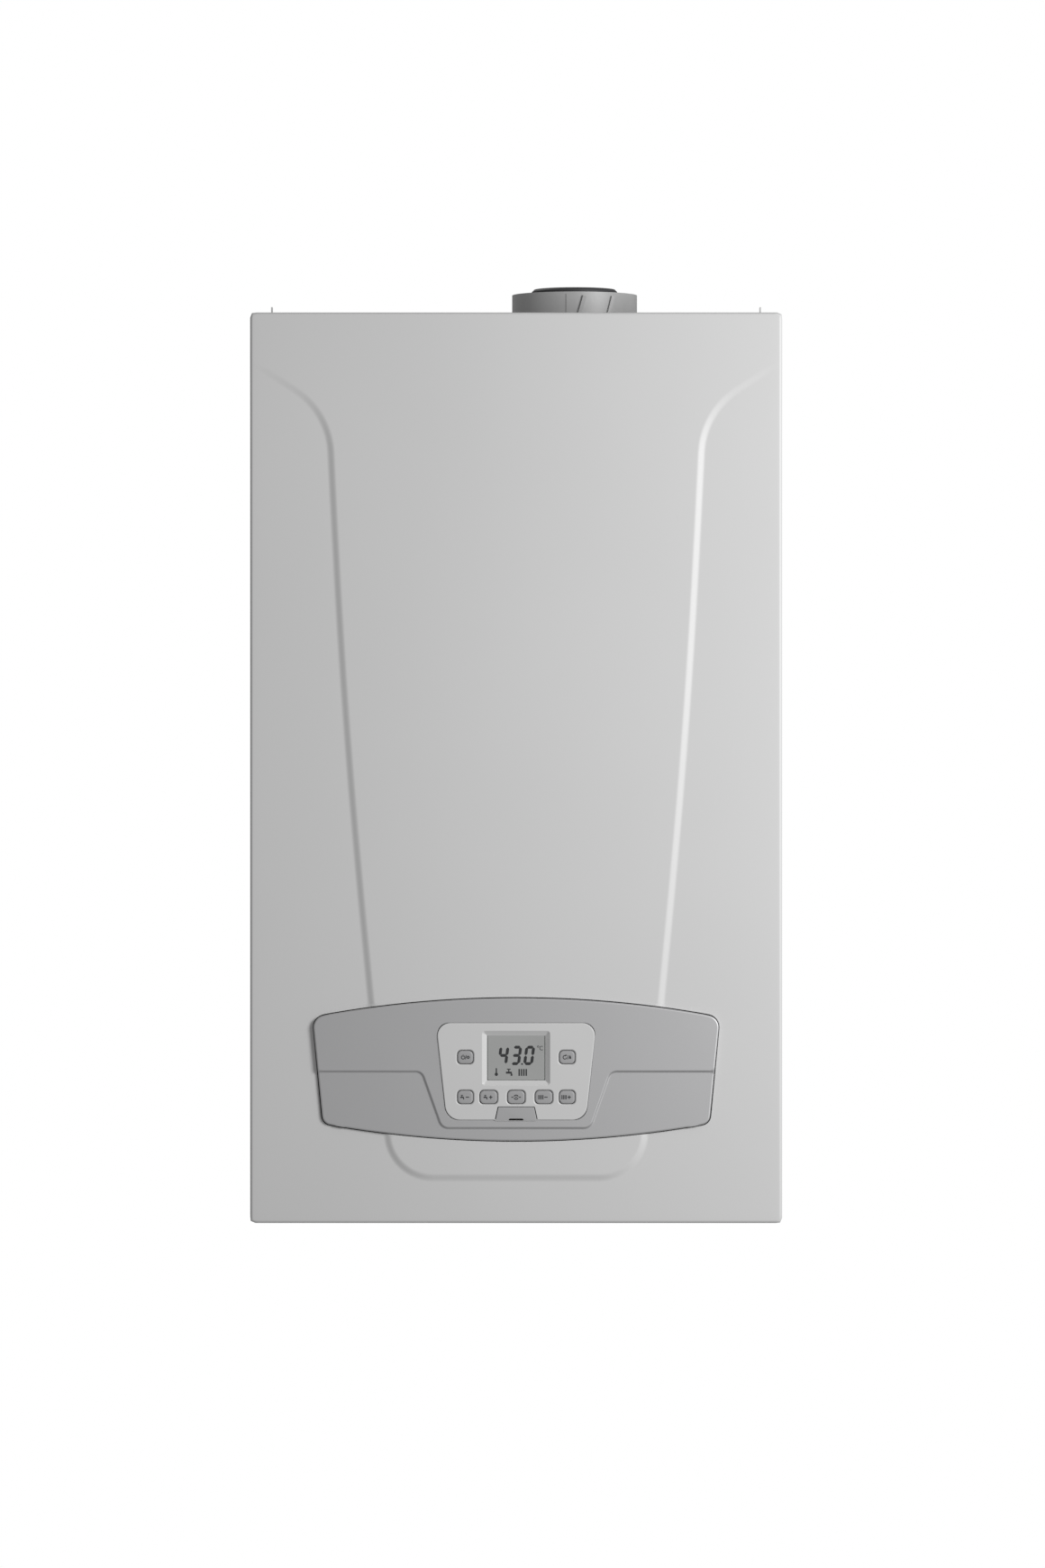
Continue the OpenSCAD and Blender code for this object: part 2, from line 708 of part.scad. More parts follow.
module main_board() {
    face = board_near + board_t;
    color("darkgreen") hung() {
        block(board_left, board_right, board_near, face, box_z + 10, box_top - 9);
        block(board_left + 12, board_left + 62, face, face + 34.4, strut_z + 10, strut_z + 55);
        for (x = [board_left + 77 : relay_pitch : board_left + 137])
            block(x, x + relay_w, face, face + 16.4, 140, 168);
        for (x = [board_left + 162, board_left + 186])
            lying(x, strut_z + strut_h, face, face + 26.4, 9);
        for (x = [board_left + 12 : socket_pitch : board_right - 40])
            block(x, x + socket_w, face, face + 12.4, box_z + 14, box_z + 28);
        block(board_left + 222, board_left + 262, face, face + 4.4, 120, 160);
    }
}

// Values of the burner group, laid out in the standard casing
shell_near = 105;
shell_far = 285;
shell_t = 5;
door_t = 12;
door_rim_t = 5;
door_r = exchanger_r - 13;
door_port_r = 25;
duct_r = flue_bore_d / 2 - 0.4;
duct_wall = 1.5;
socket_wall = 4;
socket_l = 25;
socket_z = exchanger_z + exchanger_r + 28;
shell_neck = exchanger_r - 35;
drain_x = exchanger_x - 30;
drain_r = 12;
drain_bore = 9;
drain_z = exchanger_z - exchanger_r - 14;
fan_x = -95;
fan_z = 315;
fan_near = 262;
fan_far = 308;
fan_wall = 4;
outlet_w = 40;
duct_front = fan_far + 25;
shaft_r = 4;
motor_near = 216;
motor_r = 38;
// Values of the flue collar
plate_w = 140;
plate_t = 2;
plate_corner = 10;
pad_rise = 0.6;
pad_turns = [-98, -142];
rib_turns = [-87, -60];
rib_lean = 16;
rib_t = 3;
rib_l = 5;
module flue_adaptor() {
    color("silver") hung()
        translate([inner_x(flue_x), -inner_y(flue_y), body_h])
            difference() {
                union() {
                    linear_extrude(height = plate_t)
                        polygon(rounded(box_corners(plate_w, plate_w, plate_corner)));
                    cylinder(d = collar_d, h = collar_h);
                    intersection() {
                        cylinder(d = collar_d + 2 * pad_rise, h = collar_h - 2);
                        rotate([0, 0, pad_turns[0]])
                            translate([0, 0, rib_t])
                                cube(collar_d);
                        rotate([0, 0, pad_turns[1]])
                            cube(collar_d);
                    }
                    for (a = rib_turns)
                        rotate([0, 0, a])
                            translate([collar_d / 2 + 0.5, 0, 4])
                                rotate([-rib_lean, 0, 0])
                                    translate([-rib_t, -rib_t / 2, 0])
                                        cube([rib_l, rib_t, collar_h - 7]);
                }
                translate([0, 0, -over])
                    cylinder(d = air_bore_d, h = collar_h + 2 * over);
            }
}
seal_skirt = 14;
seal_seat = seal_h - 8;
seal_round = 2;
seal_lap = 2.5;
module flue_seal() {
    color("black") hung()
        translate([inner_x(flue_x), -inner_y(flue_y), body_h])
            rotate_extrude()
                polygon([
                    [flue_bore_d / 2, seal_seat], [duct_r + seal_lap, seal_seat],
                    [duct_r + seal_lap, seal_h - seal_skirt],
                    [seal_d / 2 - seal_round / 2, seal_h - seal_skirt],
                    [seal_d / 2, seal_h - seal_skirt + seal_round], [seal_d / 2, seal_h - seal_round],
                    [seal_d / 2 - seal_round, seal_h], [flue_bore_d / 2, seal_h]
                ]);
}
socket_foot = body_h - 27;
module flue_duct() {
    color("gray") hung()
        translate([inner_x(flue_x), -inner_y(flue_y), 0])
            rotate_extrude()
                polygon([
                    [duct_r * fit - duct_wall, inner_up(socket_z - socket_l)],
                    [duct_r * fit, inner_up(socket_z - socket_l)],
                    [duct_r * fit, socket_foot], [duct_r + seal_lap, socket_foot + 3],
                    [duct_r + seal_lap, body_h + seal_seat], [flue_bore_d / 2, body_h + seal_seat],
                    [flue_bore_d / 2, socket_foot + 5], [duct_r * fit - duct_wall, socket_foot + 5]
                ]);
}
module heat_exchanger_shell() {
    color("silver") inner()
        difference() {
            union() {
                lying(exchanger_x, exchanger_z, shell_near, shell_far, exchanger_r);
                upright(flue_x, flue_y, exchanger_z + shell_neck, socket_z, duct_r + socket_wall);
                upright(drain_x, trap_y, drain_z, exchanger_z - shell_neck, drain_r);
            }
            lying(exchanger_x, exchanger_z, shell_near + shell_t, shell_far + over, exchanger_r - shell_t);
            upright(flue_x, flue_y, socket_z - socket_l, socket_z + over, duct_r + gap);
            upright(flue_x, flue_y, exchanger_z, socket_z - socket_l + over, duct_r - duct_wall);
            upright(drain_x, trap_y, drain_z - over, exchanger_z - shell_neck + 10, drain_bore);
        }
}
coil_turns = 5;
coil_tube_r = 9;
coil_rings = 20;
coil_pitch = 27;
coil_r = exchanger_r - shell_t - coil_tube_r - gap;
coil_near = shell_near + shell_t + coil_tube_r + 2;
module heat_exchanger_coil() {
    color("silver") inner()
        sweep([
            for (i = [0 : coil_turns * coil_rings])
                let (a = 360 * i / coil_rings)
                [exchanger_x + coil_r * cos(a), -coil_near - coil_pitch * i / coil_rings,
                    exchanger_z + coil_r * sin(a)]
        ], coil_tube_r, 8);
}
module burner_door() {
    color("lightslategray") inner()
        difference() {
            union() {
                lying(exchanger_x, exchanger_z, shell_far, shell_far + door_t, door_r);
                lying(exchanger_x, exchanger_z, shell_far, shell_far + door_rim_t, exchanger_r);
            }
            lying(exchanger_x, exchanger_z, shell_far - over, shell_far + door_t + over, door_port_r);
        }
}
burner_r = 35;
burner_near = shell_near + 40;
burner_wall = 2;
module burner() {
    color("dimgray") inner()
        difference() {
            lying(exchanger_x, exchanger_z, burner_near, shell_far, burner_r);
            lying(exchanger_x, exchanger_z, burner_near + burner_wall, shell_far + over,
                burner_r - burner_wall);
        }
}
nut_turn = 60;
nut_ring_r = door_r - 13;
nut_size = 6;
module door_nuts() {
    color("goldenrod") inner()
        for (a = [nut_turn / 2 : nut_turn : 360 + nut_turn / 2 - 1])
            translate([exchanger_x + nut_ring_r * cos(a), -shell_far - door_t,
                exchanger_z + nut_ring_r * sin(a)])
                rotate([90, 0, 0])
                    cylinder(r = nut_size, h = nut_size, $fn = 6);
}
spark_x = exchanger_x + 55;
spark_z = exchanger_z + 48;
spark_w = 28;
spark_h = 18;
spark_l = 20;
spark_pitch = 6;
spark_r = 4;
module electrodes() {
    door = shell_far + door_t;
    color("white") inner() {
        block(spark_x - spark_w / 2, spark_x + spark_w / 2, door, door + 3, spark_z - spark_h / 2,
            spark_z + spark_h / 2);
        for (x = [-spark_pitch, spark_pitch])
            lying(spark_x + x, spark_z, door + 3, door + spark_l, spark_r);
    }
}
generator_x = 178;
generator_y = 225;
generator_z = 400;
generator_h = 46;
generator_half = 25;
lead_x = 200;
lead_r = 3;
module ignition_lead() {
    door = shell_far + door_t;
    plug = generator_z + generator_h + 4;
    color("black") inner()
        pipe_run([
            [spark_x + spark_pitch, -door - spark_l, spark_z],
            [spark_x + spark_pitch, -door - spark_l - 6, spark_z],
            [spark_x + 65, -door - spark_l, spark_z - 15], [lead_x - 20, -door + 7, plug + 60],
            [lead_x, -generator_y - 15, plug + 30], [lead_x, -generator_y, plug + 10],
            [lead_x, -generator_y, plug]
        ], lead_r);
}
module spark_generator() {
    color("black") inner() {
        block(generator_x, wall_x, generator_y - generator_half, generator_y + generator_half,
            generator_z, generator_z + generator_h);
        upright(lead_x, generator_y, generator_z + generator_h, generator_z + generator_h + 4, lead_r + 2);
    }
}
fan_inlet_r = 22;
fan_scroll = 8;
module fan_housing() {
    right = fan_x + fan_r;
    color("lightgray") inner()
        difference() {
            union() {
                lying(fan_x, fan_z, fan_near, fan_far, fan_r);
                block(right - outlet_w, right, fan_near, fan_far, fan_z, fan_z + fan_r);
            }
            lying(fan_x, fan_z, fan_near + fan_wall, fan_far - fan_wall, fan_r - fan_scroll);
            block(right - outlet_w + fan_wall, right - fan_wall, fan_near + fan_wall, fan_far - fan_wall,
                fan_z, fan_z + fan_r + over);
            lying(fan_x, fan_z, fan_far - fan_wall - over, fan_far + over, fan_inlet_r);
            lying(fan_x, fan_z, fan_near - over, fan_near + fan_wall + over, shaft_r + 2);
        }
}
wheel_r = fan_r - 14;
wheel_t = 2;
blade_turn = 30;
blade_l = 19;
blade_h = 24;
module fan_impeller() {
    plate = fan_near + 2 * fan_wall;
    color("silver") inner() {
        lying(fan_x, fan_z, plate, plate + wheel_t, wheel_r);
        lying(fan_x, fan_z, fan_near - 16, plate + 22, shaft_r);
        for (a = [0 : blade_turn : 359])
            translate([fan_x, -plate - wheel_t, fan_z])
                rotate([90, a, 0])
                    translate([wheel_r - blade_l - 1, -wheel_t / 2, 0])
                        cube([blade_l, wheel_t, blade_h]);
    }
}
module fan_motor() {
    color("black") inner()
        difference() {
            lying(fan_x, fan_z, motor_near, fan_near, motor_r);
            lying(fan_x, fan_z, fan_near - 18, fan_near + over, shaft_r + pin_play);
        }
}
venturi_z = 225;
venturi_r = 30;
venturi_half = 20;
venturi_wall = 3;
module venturi() {
    color("dimgray") inner()
        difference() {
            union() {
                lying(fan_x, fan_z, fan_far, duct_front, venturi_r);
                block(fan_x - venturi_half, fan_x + venturi_half, fan_far, duct_front, venturi_z, fan_z);
            }
            lying(fan_x, fan_z, fan_far - over, duct_front - venturi_wall, fan_inlet_r);
            block(fan_x - venturi_half + venturi_wall, fan_x + venturi_half - venturi_wall,
                fan_far + venturi_wall, duct_front - venturi_wall, venturi_z - over, fan_z);
        }
}
mixer_half = 28;
mixer_wall = 2;
mixer_head_r = 36;
mixer_foot = 8;
module mixer_duct() {
    left = fan_x + fan_r - outlet_w - mixer_wall;
    right = fan_x + fan_r + mixer_wall;
    low = fan_z + fan_r;
    door = shell_far + door_t;
    near = door + mixer_wall;
    skin = mixer_half - mixer_wall;
    color("lightgray") inner()
        difference() {
            union() {
                block(left, right, fan_near, duct_front, low, low + mixer_foot);
                block(left, right, near, duct_front, low + mixer_foot, exchanger_z);
                block(left, exchanger_x, near, duct_front, exchanger_z - mixer_half,
                    exchanger_z + mixer_half);
                lying(exchanger_x, exchanger_z, door, duct_front, mixer_head_r);
            }
            block(left + mixer_wall, right - mixer_wall, near + mixer_wall, duct_front - mixer_wall,
                low + 6, exchanger_z);
            block(left + 6, right - 6, fan_near + fan_wall, fan_far - fan_wall, low - over, low + 6.5);
            block(left + mixer_wall, exchanger_x, near + mixer_wall, duct_front - mixer_wall,
                exchanger_z - skin, exchanger_z + skin);
            lying(exchanger_x, exchanger_z, door - over, duct_front - mixer_wall, door_port_r);
        }
}
valve_x = 60;
valve_z = 250;
valve_w = 90;
valve_h = 60;
valve_near = 235;
valve_far = 295;
valve_port_x = valve_x + 45;
valve_port_y = (valve_near + valve_far) / 2;
module gas_valve() {
    head = valve_z + valve_h;
    color("silver") inner() {
        block(valve_x, valve_x + valve_w, valve_near, valve_far, valve_z, head);
        block(valve_x + 10, valve_port_x, valve_near + 5, valve_far - 5, head, head + valve_h / 2);
        lying(valve_x + 65, valve_z + valve_h / 2, valve_far, valve_far + 8, 12);
        upright(valve_x + 68, valve_port_y, head, head + 15, 14);
    }
}
module gas_pipes() {
    turn_z = valve_z - 14;
    join_y = duct_front - 12.5;
    color("goldenrod") inner() {
        pipe_run([
            [0, -tail_y, block_z], [0, -tail_y, turn_z], [valve_port_x, -valve_port_y, turn_z],
            [valve_port_x, -valve_port_y, valve_z]
        ], gas_pipe_r);
        pipe_run([
            [valve_x, -valve_far + 10, valve_z + 25], [0, -valve_far + 10, valve_z + 25],
            [-40, -join_y, valve_z - 5], [fan_x + venturi_half, -join_y, valve_z - 5]
        ], gas_pipe_r);
    }
}
trap_top = 200;
module condensate_hose() {
    color("gray") inner()
        pipe_run([
            [drain_x, -trap_y, drain_z], [drain_x, -trap_y, drain_z - 26],
            [trap_x, -trap_y, trap_top + 30], [trap_x, -trap_y, trap_top]
        ], drain_bore);
}
cup_r = 25;
cup_top = 44;
cup_foot = 8;
cup_rib_turn = 45;
cup_rib_t = 4;
trap_r = 24;
trap_wall = 3;
trap_end = 28;
strap_z = 150;
strap_h = 16;
outlet_end = 6;
outlet_top = 100;
outlet_wall = 2;
outlet_lip = 1.5;
module condensate_trap() {
    color("gray") inner()
        difference() {
            union() {
                upright(trap_x, trap_y, tray_z + sheet_t + gap, trap_top, trap_r);
                upright(trap_x, trap_y, trap_end, tray_z + 4, neck_r);
                block(-wall_x, trap_x - neck_r, trap_y - strap_h / 2, trap_y + strap_h / 2, strap_z,
                    strap_z + strap_h);
                along_x(trap_x, outlet_x, trap_y, outlet_top - 10, outlet_r - 1);
                upright(outlet_x, trap_y, outlet_end, tray_z - 4, outlet_r);
                upright(outlet_x, trap_y, tray_z - 4, outlet_top, outlet_r + outlet_lip);
            }
            upright(trap_x, trap_y, trap_end - over, trap_top - 4, neck_r - trap_wall);
            upright(outlet_x, trap_y, outlet_end - over, outlet_top - 20, outlet_r - outlet_wall);
        }
}
module trap_cup() {
    color("lightgray") inner()
        difference() {
            union() {
                upright(trap_x, trap_y, cup_foot, cup_top, cup_r);
                for (a = [0 : cup_rib_turn : 359])
                    translate([trap_x, -trap_y, cup_foot + 2])
                        rotate([0, 0, a])
                            translate([cup_r - cup_rib_t / 2, -cup_rib_t / 2, 0])
                                cube([cup_rib_t, cup_rib_t, 22]);
            }
            upright(trap_x, trap_y, cup_foot + trap_wall, cup_top + over, neck_r + gap);
        }
}

// Values of the water side
block_top = 118;
block_bar_z = 90;
block_bar_r = 16;
bar_near = 40;
bar_end = 165;
lobe_near = 52;
lobe_end = 100;
lobe_back = 18;
stem_r = 3;
stem_travel = 6;
stem_top = block_top + 38;
far_x = 198;
pump_x = 2 * tail_pitch;
pump_z = 180;
pump_near = 100;
pump_far = 150;
pump_r = 50;
pump_wall = 8;
pump_port_y = tail_y + 20;
pump_port_r = 14;
pump_port_z = pump_z + pump_r + 18;
pump_motor_far = 222;
port_y = 150;
flow_z = exchanger_z;
plate_depth = 50;
plate_near = tail_y - lobe_back - plate_depth;
module water_block(side) {
    along_x(side < 0 ? -bar_end : bar_near, side < 0 ? -bar_near : bar_end, tail_y, block_bar_z,
        block_bar_r);
    for (i = [1, 2])
        upright(side * i * tail_pitch, tail_y, block_z, block_top, block_bar_r + 1.5);
    block(side < 0 ? -lobe_end : lobe_near, side < 0 ? -lobe_near : lobe_end, tail_y - lobe_back,
        tail_y + 20,
        block_z + 8, block_top - 8);
}
module flow_block() {
    color("goldenrod") inner()
        difference() {
            water_block(-1);
            upright(-pump_x, tail_y, block_top - 20, block_top + over, stem_r + pin_play);
        }
}
module return_block() {
    color("goldenrod") inner() {
        water_block(1);
        upright(pump_x, tail_y + lobe_back, block_z + 20, pump_z - pump_r, pump_port_r);
    }
}
module diverter_stem() {
    color("silver") inner()
        upright(-pump_x, tail_y, block_top - 13, stem_top, stem_r);
}
diverter_half = 22;
diverter_reach = 28;
diverter_foot = 30;
diverter_h = 48;
leg_t = 5;
leg_gap = 8;
module diverter_motor() {
    low = block_top + diverter_foot;
    color("black") inner()
        difference() {
            union() {
                block(-pump_x - diverter_half, -pump_x + diverter_half, tail_y - diverter_reach,
                    tail_y + diverter_reach,
                    low, low + diverter_h);
                for (y = [tail_y - leg_gap - leg_t, tail_y + leg_gap])
                    block(-pump_x - leg_gap, -pump_x + leg_gap, y, y + leg_t, block_top, low);
            }
            upright(-pump_x, tail_y, low - over, stem_top + stem_travel + 2, stem_r + pin_play);
        }
}
plate_half = 98;
plate_low = 62;
plate_high = 130;
plate_pitch = 9;
plate_rim = 5;
plate_inset = 2;
module plate_heat_exchanger() {
    color("silver") inner()
        union() {
            block(-plate_half + plate_inset, plate_half - plate_inset, plate_near, plate_near + plate_depth,
                plate_low + plate_inset, plate_high - plate_inset);
            for (y = [0 : plate_pitch : plate_depth - plate_rim])
                block(-plate_half, plate_half, plate_near + y, plate_near + y + plate_rim, plate_low,
                    plate_high);
        }
}
vent_x = pump_x - 28;
vent_y = tail_y + 22;
vent_r = 13;
vent_h = 42;
vent_cap_r = 6;
vent_cap_h = 10;
module pump_housing() {
    color("dimgray") inner()
        difference() {
            union() {
                lying(pump_x, pump_z, pump_near, pump_far, pump_r);
                upright(pump_x, pump_port_y, pump_z, pump_port_z, pump_port_r);
                block(vent_x - 8, vent_x + 8, vent_y - 12, vent_y + 12, pump_z, pump_z + pump_r);
            }
            upright(pump_x, pump_port_y, pump_z + pump_r, pump_port_z + over, pipe_r);
            lying(pump_x, pump_z, pump_near + pump_wall, pump_far - pump_wall, pump_r - 10);
            lying(pump_x, pump_z, pump_far - pump_wall - over, pump_far + over, shaft_r + 2);
        }
}
rotor_r = pump_r - 14;
rotor_gap = 4;
module pump_impeller() {
    color("silver") inner() {
        lying(pump_x, pump_z, pump_near + pump_wall + rotor_gap, pump_far - pump_wall - rotor_gap - 2,
            rotor_r);
        lying(pump_x, pump_z, pump_far - 15, pump_far + 14, shaft_r);
    }
}
can_r = 44;
can_step = 6;
terminal_reach = 58;
terminal_half = 24;
module pump_motor() {
    color("firebrick") inner()
        difference() {
            union() {
                lying(pump_x, pump_z, pump_far, pump_motor_far - 4, can_r);
                lying(pump_x, pump_z, pump_motor_far - 5, pump_motor_far, can_r - can_step);
                block(pump_x - terminal_reach, pump_x - 36, pump_far + 14, pump_motor_far - 12,
                    pump_z - terminal_half, pump_z + terminal_half);
            }
            lying(pump_x, pump_z, pump_far - over, pump_far + 17, shaft_r + pin_play);
        }
}
module air_vent() {
    low = pump_z + pump_r;
    color("goldenrod") inner() {
        upright(vent_x, vent_y, low, low + vent_h, vent_r);
        upright(vent_x, vent_y, low + vent_h, low + vent_h + vent_cap_h, vent_cap_r);
    }
}
bend_drop = 45;
module flow_pipe() {
    color("peru") inner()
        pipe_run([
            [exchanger_x - exchanger_r, -port_y, flow_z], [-far_x, -port_y, flow_z],
            [-far_x, -tail_y, flow_z - bend_drop], [-far_x, -tail_y, block_bar_z],
            [-bar_end, -tail_y, block_bar_z]
        ], pipe_r);
}
module return_pipe() {
    loop_z = pump_port_z + 27;
    color("peru") inner()
        pipe_run([
            [exchanger_x + exchanger_r, -port_y, flow_z], [far_x, -port_y, flow_z],
            [far_x, -pump_port_y, flow_z - bend_drop], [far_x, -pump_port_y, loop_z],
            [pump_x, -pump_port_y, loop_z], [pump_x, -pump_port_y, pump_port_z]
        ], pipe_r);
}
relief_body_r = 13;
relief_top = 110;
relief_end = 10;
relief_wall = 2;
bonnet_r = 10;
bonnet_l = 20;
knob_far = 42;
knob_r = 14;
knob_rib_turn = 60;
knob_rib_t = 4;
knob_rib_l = 18;
module relief_valve() {
    color("goldenrod") inner()
        difference() {
            union() {
                along_x(bar_end, relief_x, tail_y, block_bar_z, relief_body_r - 2);
                upright(relief_x, tail_y, tray_z + 8, relief_top, relief_body_r);
                upright(relief_x, tail_y, relief_end, tray_z - 4, relief_r);
                upright(relief_x, tail_y, tray_z - 4, tray_z + 9, relief_r + outlet_lip);
                lying(relief_x, block_bar_z, tail_y, tail_y + bonnet_l, bonnet_r);
            }
            lying(relief_x, block_bar_z, tail_y + 8, tail_y + bonnet_l + over, shaft_r + pin_play);
            upright(relief_x, tail_y, relief_end - over, tray_z, relief_r - relief_wall);
        }
}
module relief_knob() {
    color("red") inner() {
        lying(relief_x, block_bar_z, tail_y + bonnet_l / 2, tail_y + bonnet_l + 2, shaft_r);
        lying(relief_x, block_bar_z, tail_y + bonnet_l + gap, tail_y + knob_far, knob_r);
        for (a = [0 : knob_rib_turn : 359])
            translate([relief_x, -tail_y - bonnet_l - 2, block_bar_z])
                rotate([90, a, 0])
                    translate([knob_r - 2, -knob_rib_t / 2, 0])
                        cube([knob_rib_t, knob_rib_t, knob_rib_l]);
    }
}
vessel_z = max(body_h, class_h) - 225;
vessel_foot = vessel_z - vessel_r + 40;
vessel_dome = 20;
vessel_edge = 6;
vessel_lift = 8;
seam_half = 4;
seam_out = 3;
module expansion_vessel() {
    mid = vessel_t / 2;
    color("firebrick") inner()
        translate([0, -sheet_t, vessel_z])
            rotate([90, 0, 0])
                rotate_extrude($fn = 96)
                    polygon([
                        [0, 0], [vessel_r - vessel_dome, 0], [vessel_r - vessel_edge, vessel_lift],
                        [vessel_r - seam_out, mid - seam_half], [vessel_r, mid - seam_half],
                        [vessel_r, mid + seam_half], [vessel_r - seam_out, mid + seam_half],
                        [vessel_r - vessel_edge, vessel_t - vessel_lift],
                        [vessel_r - vessel_dome, vessel_t], [0, vessel_t]
                    ]);
}
expansion_x = 60;
expansion_r = 5;
module expansion_pipe() {
    color("peru") inner()
        pipe_run([
            [expansion_x, -sheet_t - vessel_t, vessel_foot], [expansion_x, -tail_y + 7, vessel_foot],
            [expansion_x, -tail_y + 7, block_top]
        ], expansion_r);
}
tail_wall = 2.5;
tail_nut = 5;
tail_nut_h = 10;
module connection_tails() {
    color("goldenrod") inner()
        for (i = [0 : 4])
            difference() {
                union() {
                    upright(tail_x[i] * tail_pitch, tail_y, tail_end, block_z, tail_radius[i]);
                    translate([tail_x[i] * tail_pitch, -tail_y, tray_z - tail_nut_h - 1])
                        cylinder(r = tail_radius[i] + tail_nut, h = tail_nut_h, $fn = 6);
                }
                upright(tail_x[i] * tail_pitch, tail_y, tail_end - over, block_z - 3,
                    tail_radius[i] - tail_wall);
            }
}

back_panel();
left_side_panel();
right_side_panel();
top_panel();
base_tray();
front_cover();
cover_seal();
cover_guides();
frame_screws();
flue_adaptor();
flue_seal();
flue_duct();
heat_exchanger_shell();
heat_exchanger_coil();
burner_door();
burner();
door_nuts();
electrodes();
ignition_lead();
spark_generator();
fan_housing();
fan_impeller();
fan_motor();
venturi();
mixer_duct();
gas_valve();
gas_pipes();
condensate_hose();
condensate_trap();
trap_cup();
pump_housing();
pump_impeller();
pump_motor();
air_vent();
flow_pipe();
return_pipe();
flow_block();
return_block();
diverter_stem();
diverter_motor();
plate_heat_exchanger();
relief_valve();
relief_knob();
expansion_vessel();
expansion_pipe();
connection_tails();
control_box();
main_board();
console_fascia();
display_bezel();
display_lens();
display_board();
push_button(0);  // button_power
push_button(1);  // button_reset
push_button(2);  // button_tap_minus
push_button(3);  // button_tap_plus
push_button(4);  // button_auto
push_button(5);  // button_radiator_minus
push_button(6);  // button_radiator_plus
service_flap();
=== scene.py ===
"""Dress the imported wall-hung boiler: casing, console, display, flue collar and inner parts."""
from __future__ import annotations

import json
import logging
import math
from dataclasses import dataclass, field
from enum import Enum
from typing import Callable, Iterable, Sequence

import bpy
import numpy as np
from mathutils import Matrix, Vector
from mathutils.geometry import delaunay_2d_cdt


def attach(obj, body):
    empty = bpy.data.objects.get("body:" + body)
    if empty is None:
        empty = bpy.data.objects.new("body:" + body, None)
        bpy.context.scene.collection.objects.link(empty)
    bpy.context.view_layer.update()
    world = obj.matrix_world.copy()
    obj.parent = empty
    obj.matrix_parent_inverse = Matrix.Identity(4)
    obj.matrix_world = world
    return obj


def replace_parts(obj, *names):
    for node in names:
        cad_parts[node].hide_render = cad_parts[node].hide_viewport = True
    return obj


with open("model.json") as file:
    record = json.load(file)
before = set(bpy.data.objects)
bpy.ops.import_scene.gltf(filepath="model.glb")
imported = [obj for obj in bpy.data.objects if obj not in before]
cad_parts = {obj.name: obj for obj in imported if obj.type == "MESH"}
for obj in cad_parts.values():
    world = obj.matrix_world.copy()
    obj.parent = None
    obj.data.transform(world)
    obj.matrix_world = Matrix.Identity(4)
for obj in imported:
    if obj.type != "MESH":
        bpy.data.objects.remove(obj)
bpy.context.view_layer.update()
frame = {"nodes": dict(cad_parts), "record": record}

log = logging.getLogger("boiler")
MM = 0.001
HANG = 730.0  # height of the hanging slots above the casing's lower edge, in mm
FRONT = 345.0  # distance of the raised shield from the wall, in mm
BUMP_HEIGHT = 0.0002  # full height of the surface grain, in metres
BESIDE_EDGE = (0.4, 1.6)  # distances at which points are laid beside a sheet's edges, in mm
FINE_CLEAR = 0.25  # least distance of a fine point from an edge, in mm
GRID_CLEAR = 2.2  # least distance of a grid point from an edge, in mm
CAP_HEIGHT = 11.0  # height of every key cap, in mm
FOOT_HALF = 70.8  # half the straight part of the shield's foot, in mm
FOOT_Z = 38.5  # height of the shield's foot, in mm
STEP_Z = 127.4  # height of the step line across the console, in mm
SHARP = 40.0  # edges that bend more than this many degrees stay sharp
Array = np.ndarray
Piece = bpy.types.Object
Pair = tuple[float, float]
Triple = tuple[float, float, float]


class Body(str, Enum):
    """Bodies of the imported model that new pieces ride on."""

    COVER = "cover"
    CONSOLE = "console"
    FLAP = "flap"


def linear(code: str) -> tuple[float, float, float, float]:
    """Turn an sRGB hex value into linear colour.

    Args:
        code: six hex digits, such as "c9cac8".

    Returns:
        Linear red, green, blue and an alpha of one.
    """
    parts = [int(code[i:i + 2], 16) / 255 for i in (0, 2, 4)]
    turned = [c / 12.92 if c <= 0.04045 else ((c + 0.055) / 1.055) ** 2.4 for c in parts]
    return (*turned, 1.0)


def add_node(tree: bpy.types.NodeTree, kind: str, **links: object) -> bpy.types.Node:
    """Add a node, set its inputs and link what feeds it.

    Args:
        tree: the material's node tree.
        kind: the node's type name without its ShaderNode prefix.
        links: input name, with spaces as underscores, to a value or an output socket.

    Returns:
        The new node.
    """
    node = tree.nodes.new("ShaderNode" + kind)
    for name, value in links.items():
        key = int(name[2:]) if name.startswith("in") and name[2:].isdigit() else name.replace("_", " ")
        socket = node.inputs[key]
        if isinstance(value, bpy.types.NodeSocket):
            tree.links.new(value, socket)
        else:
            socket.default_value = value
    return node


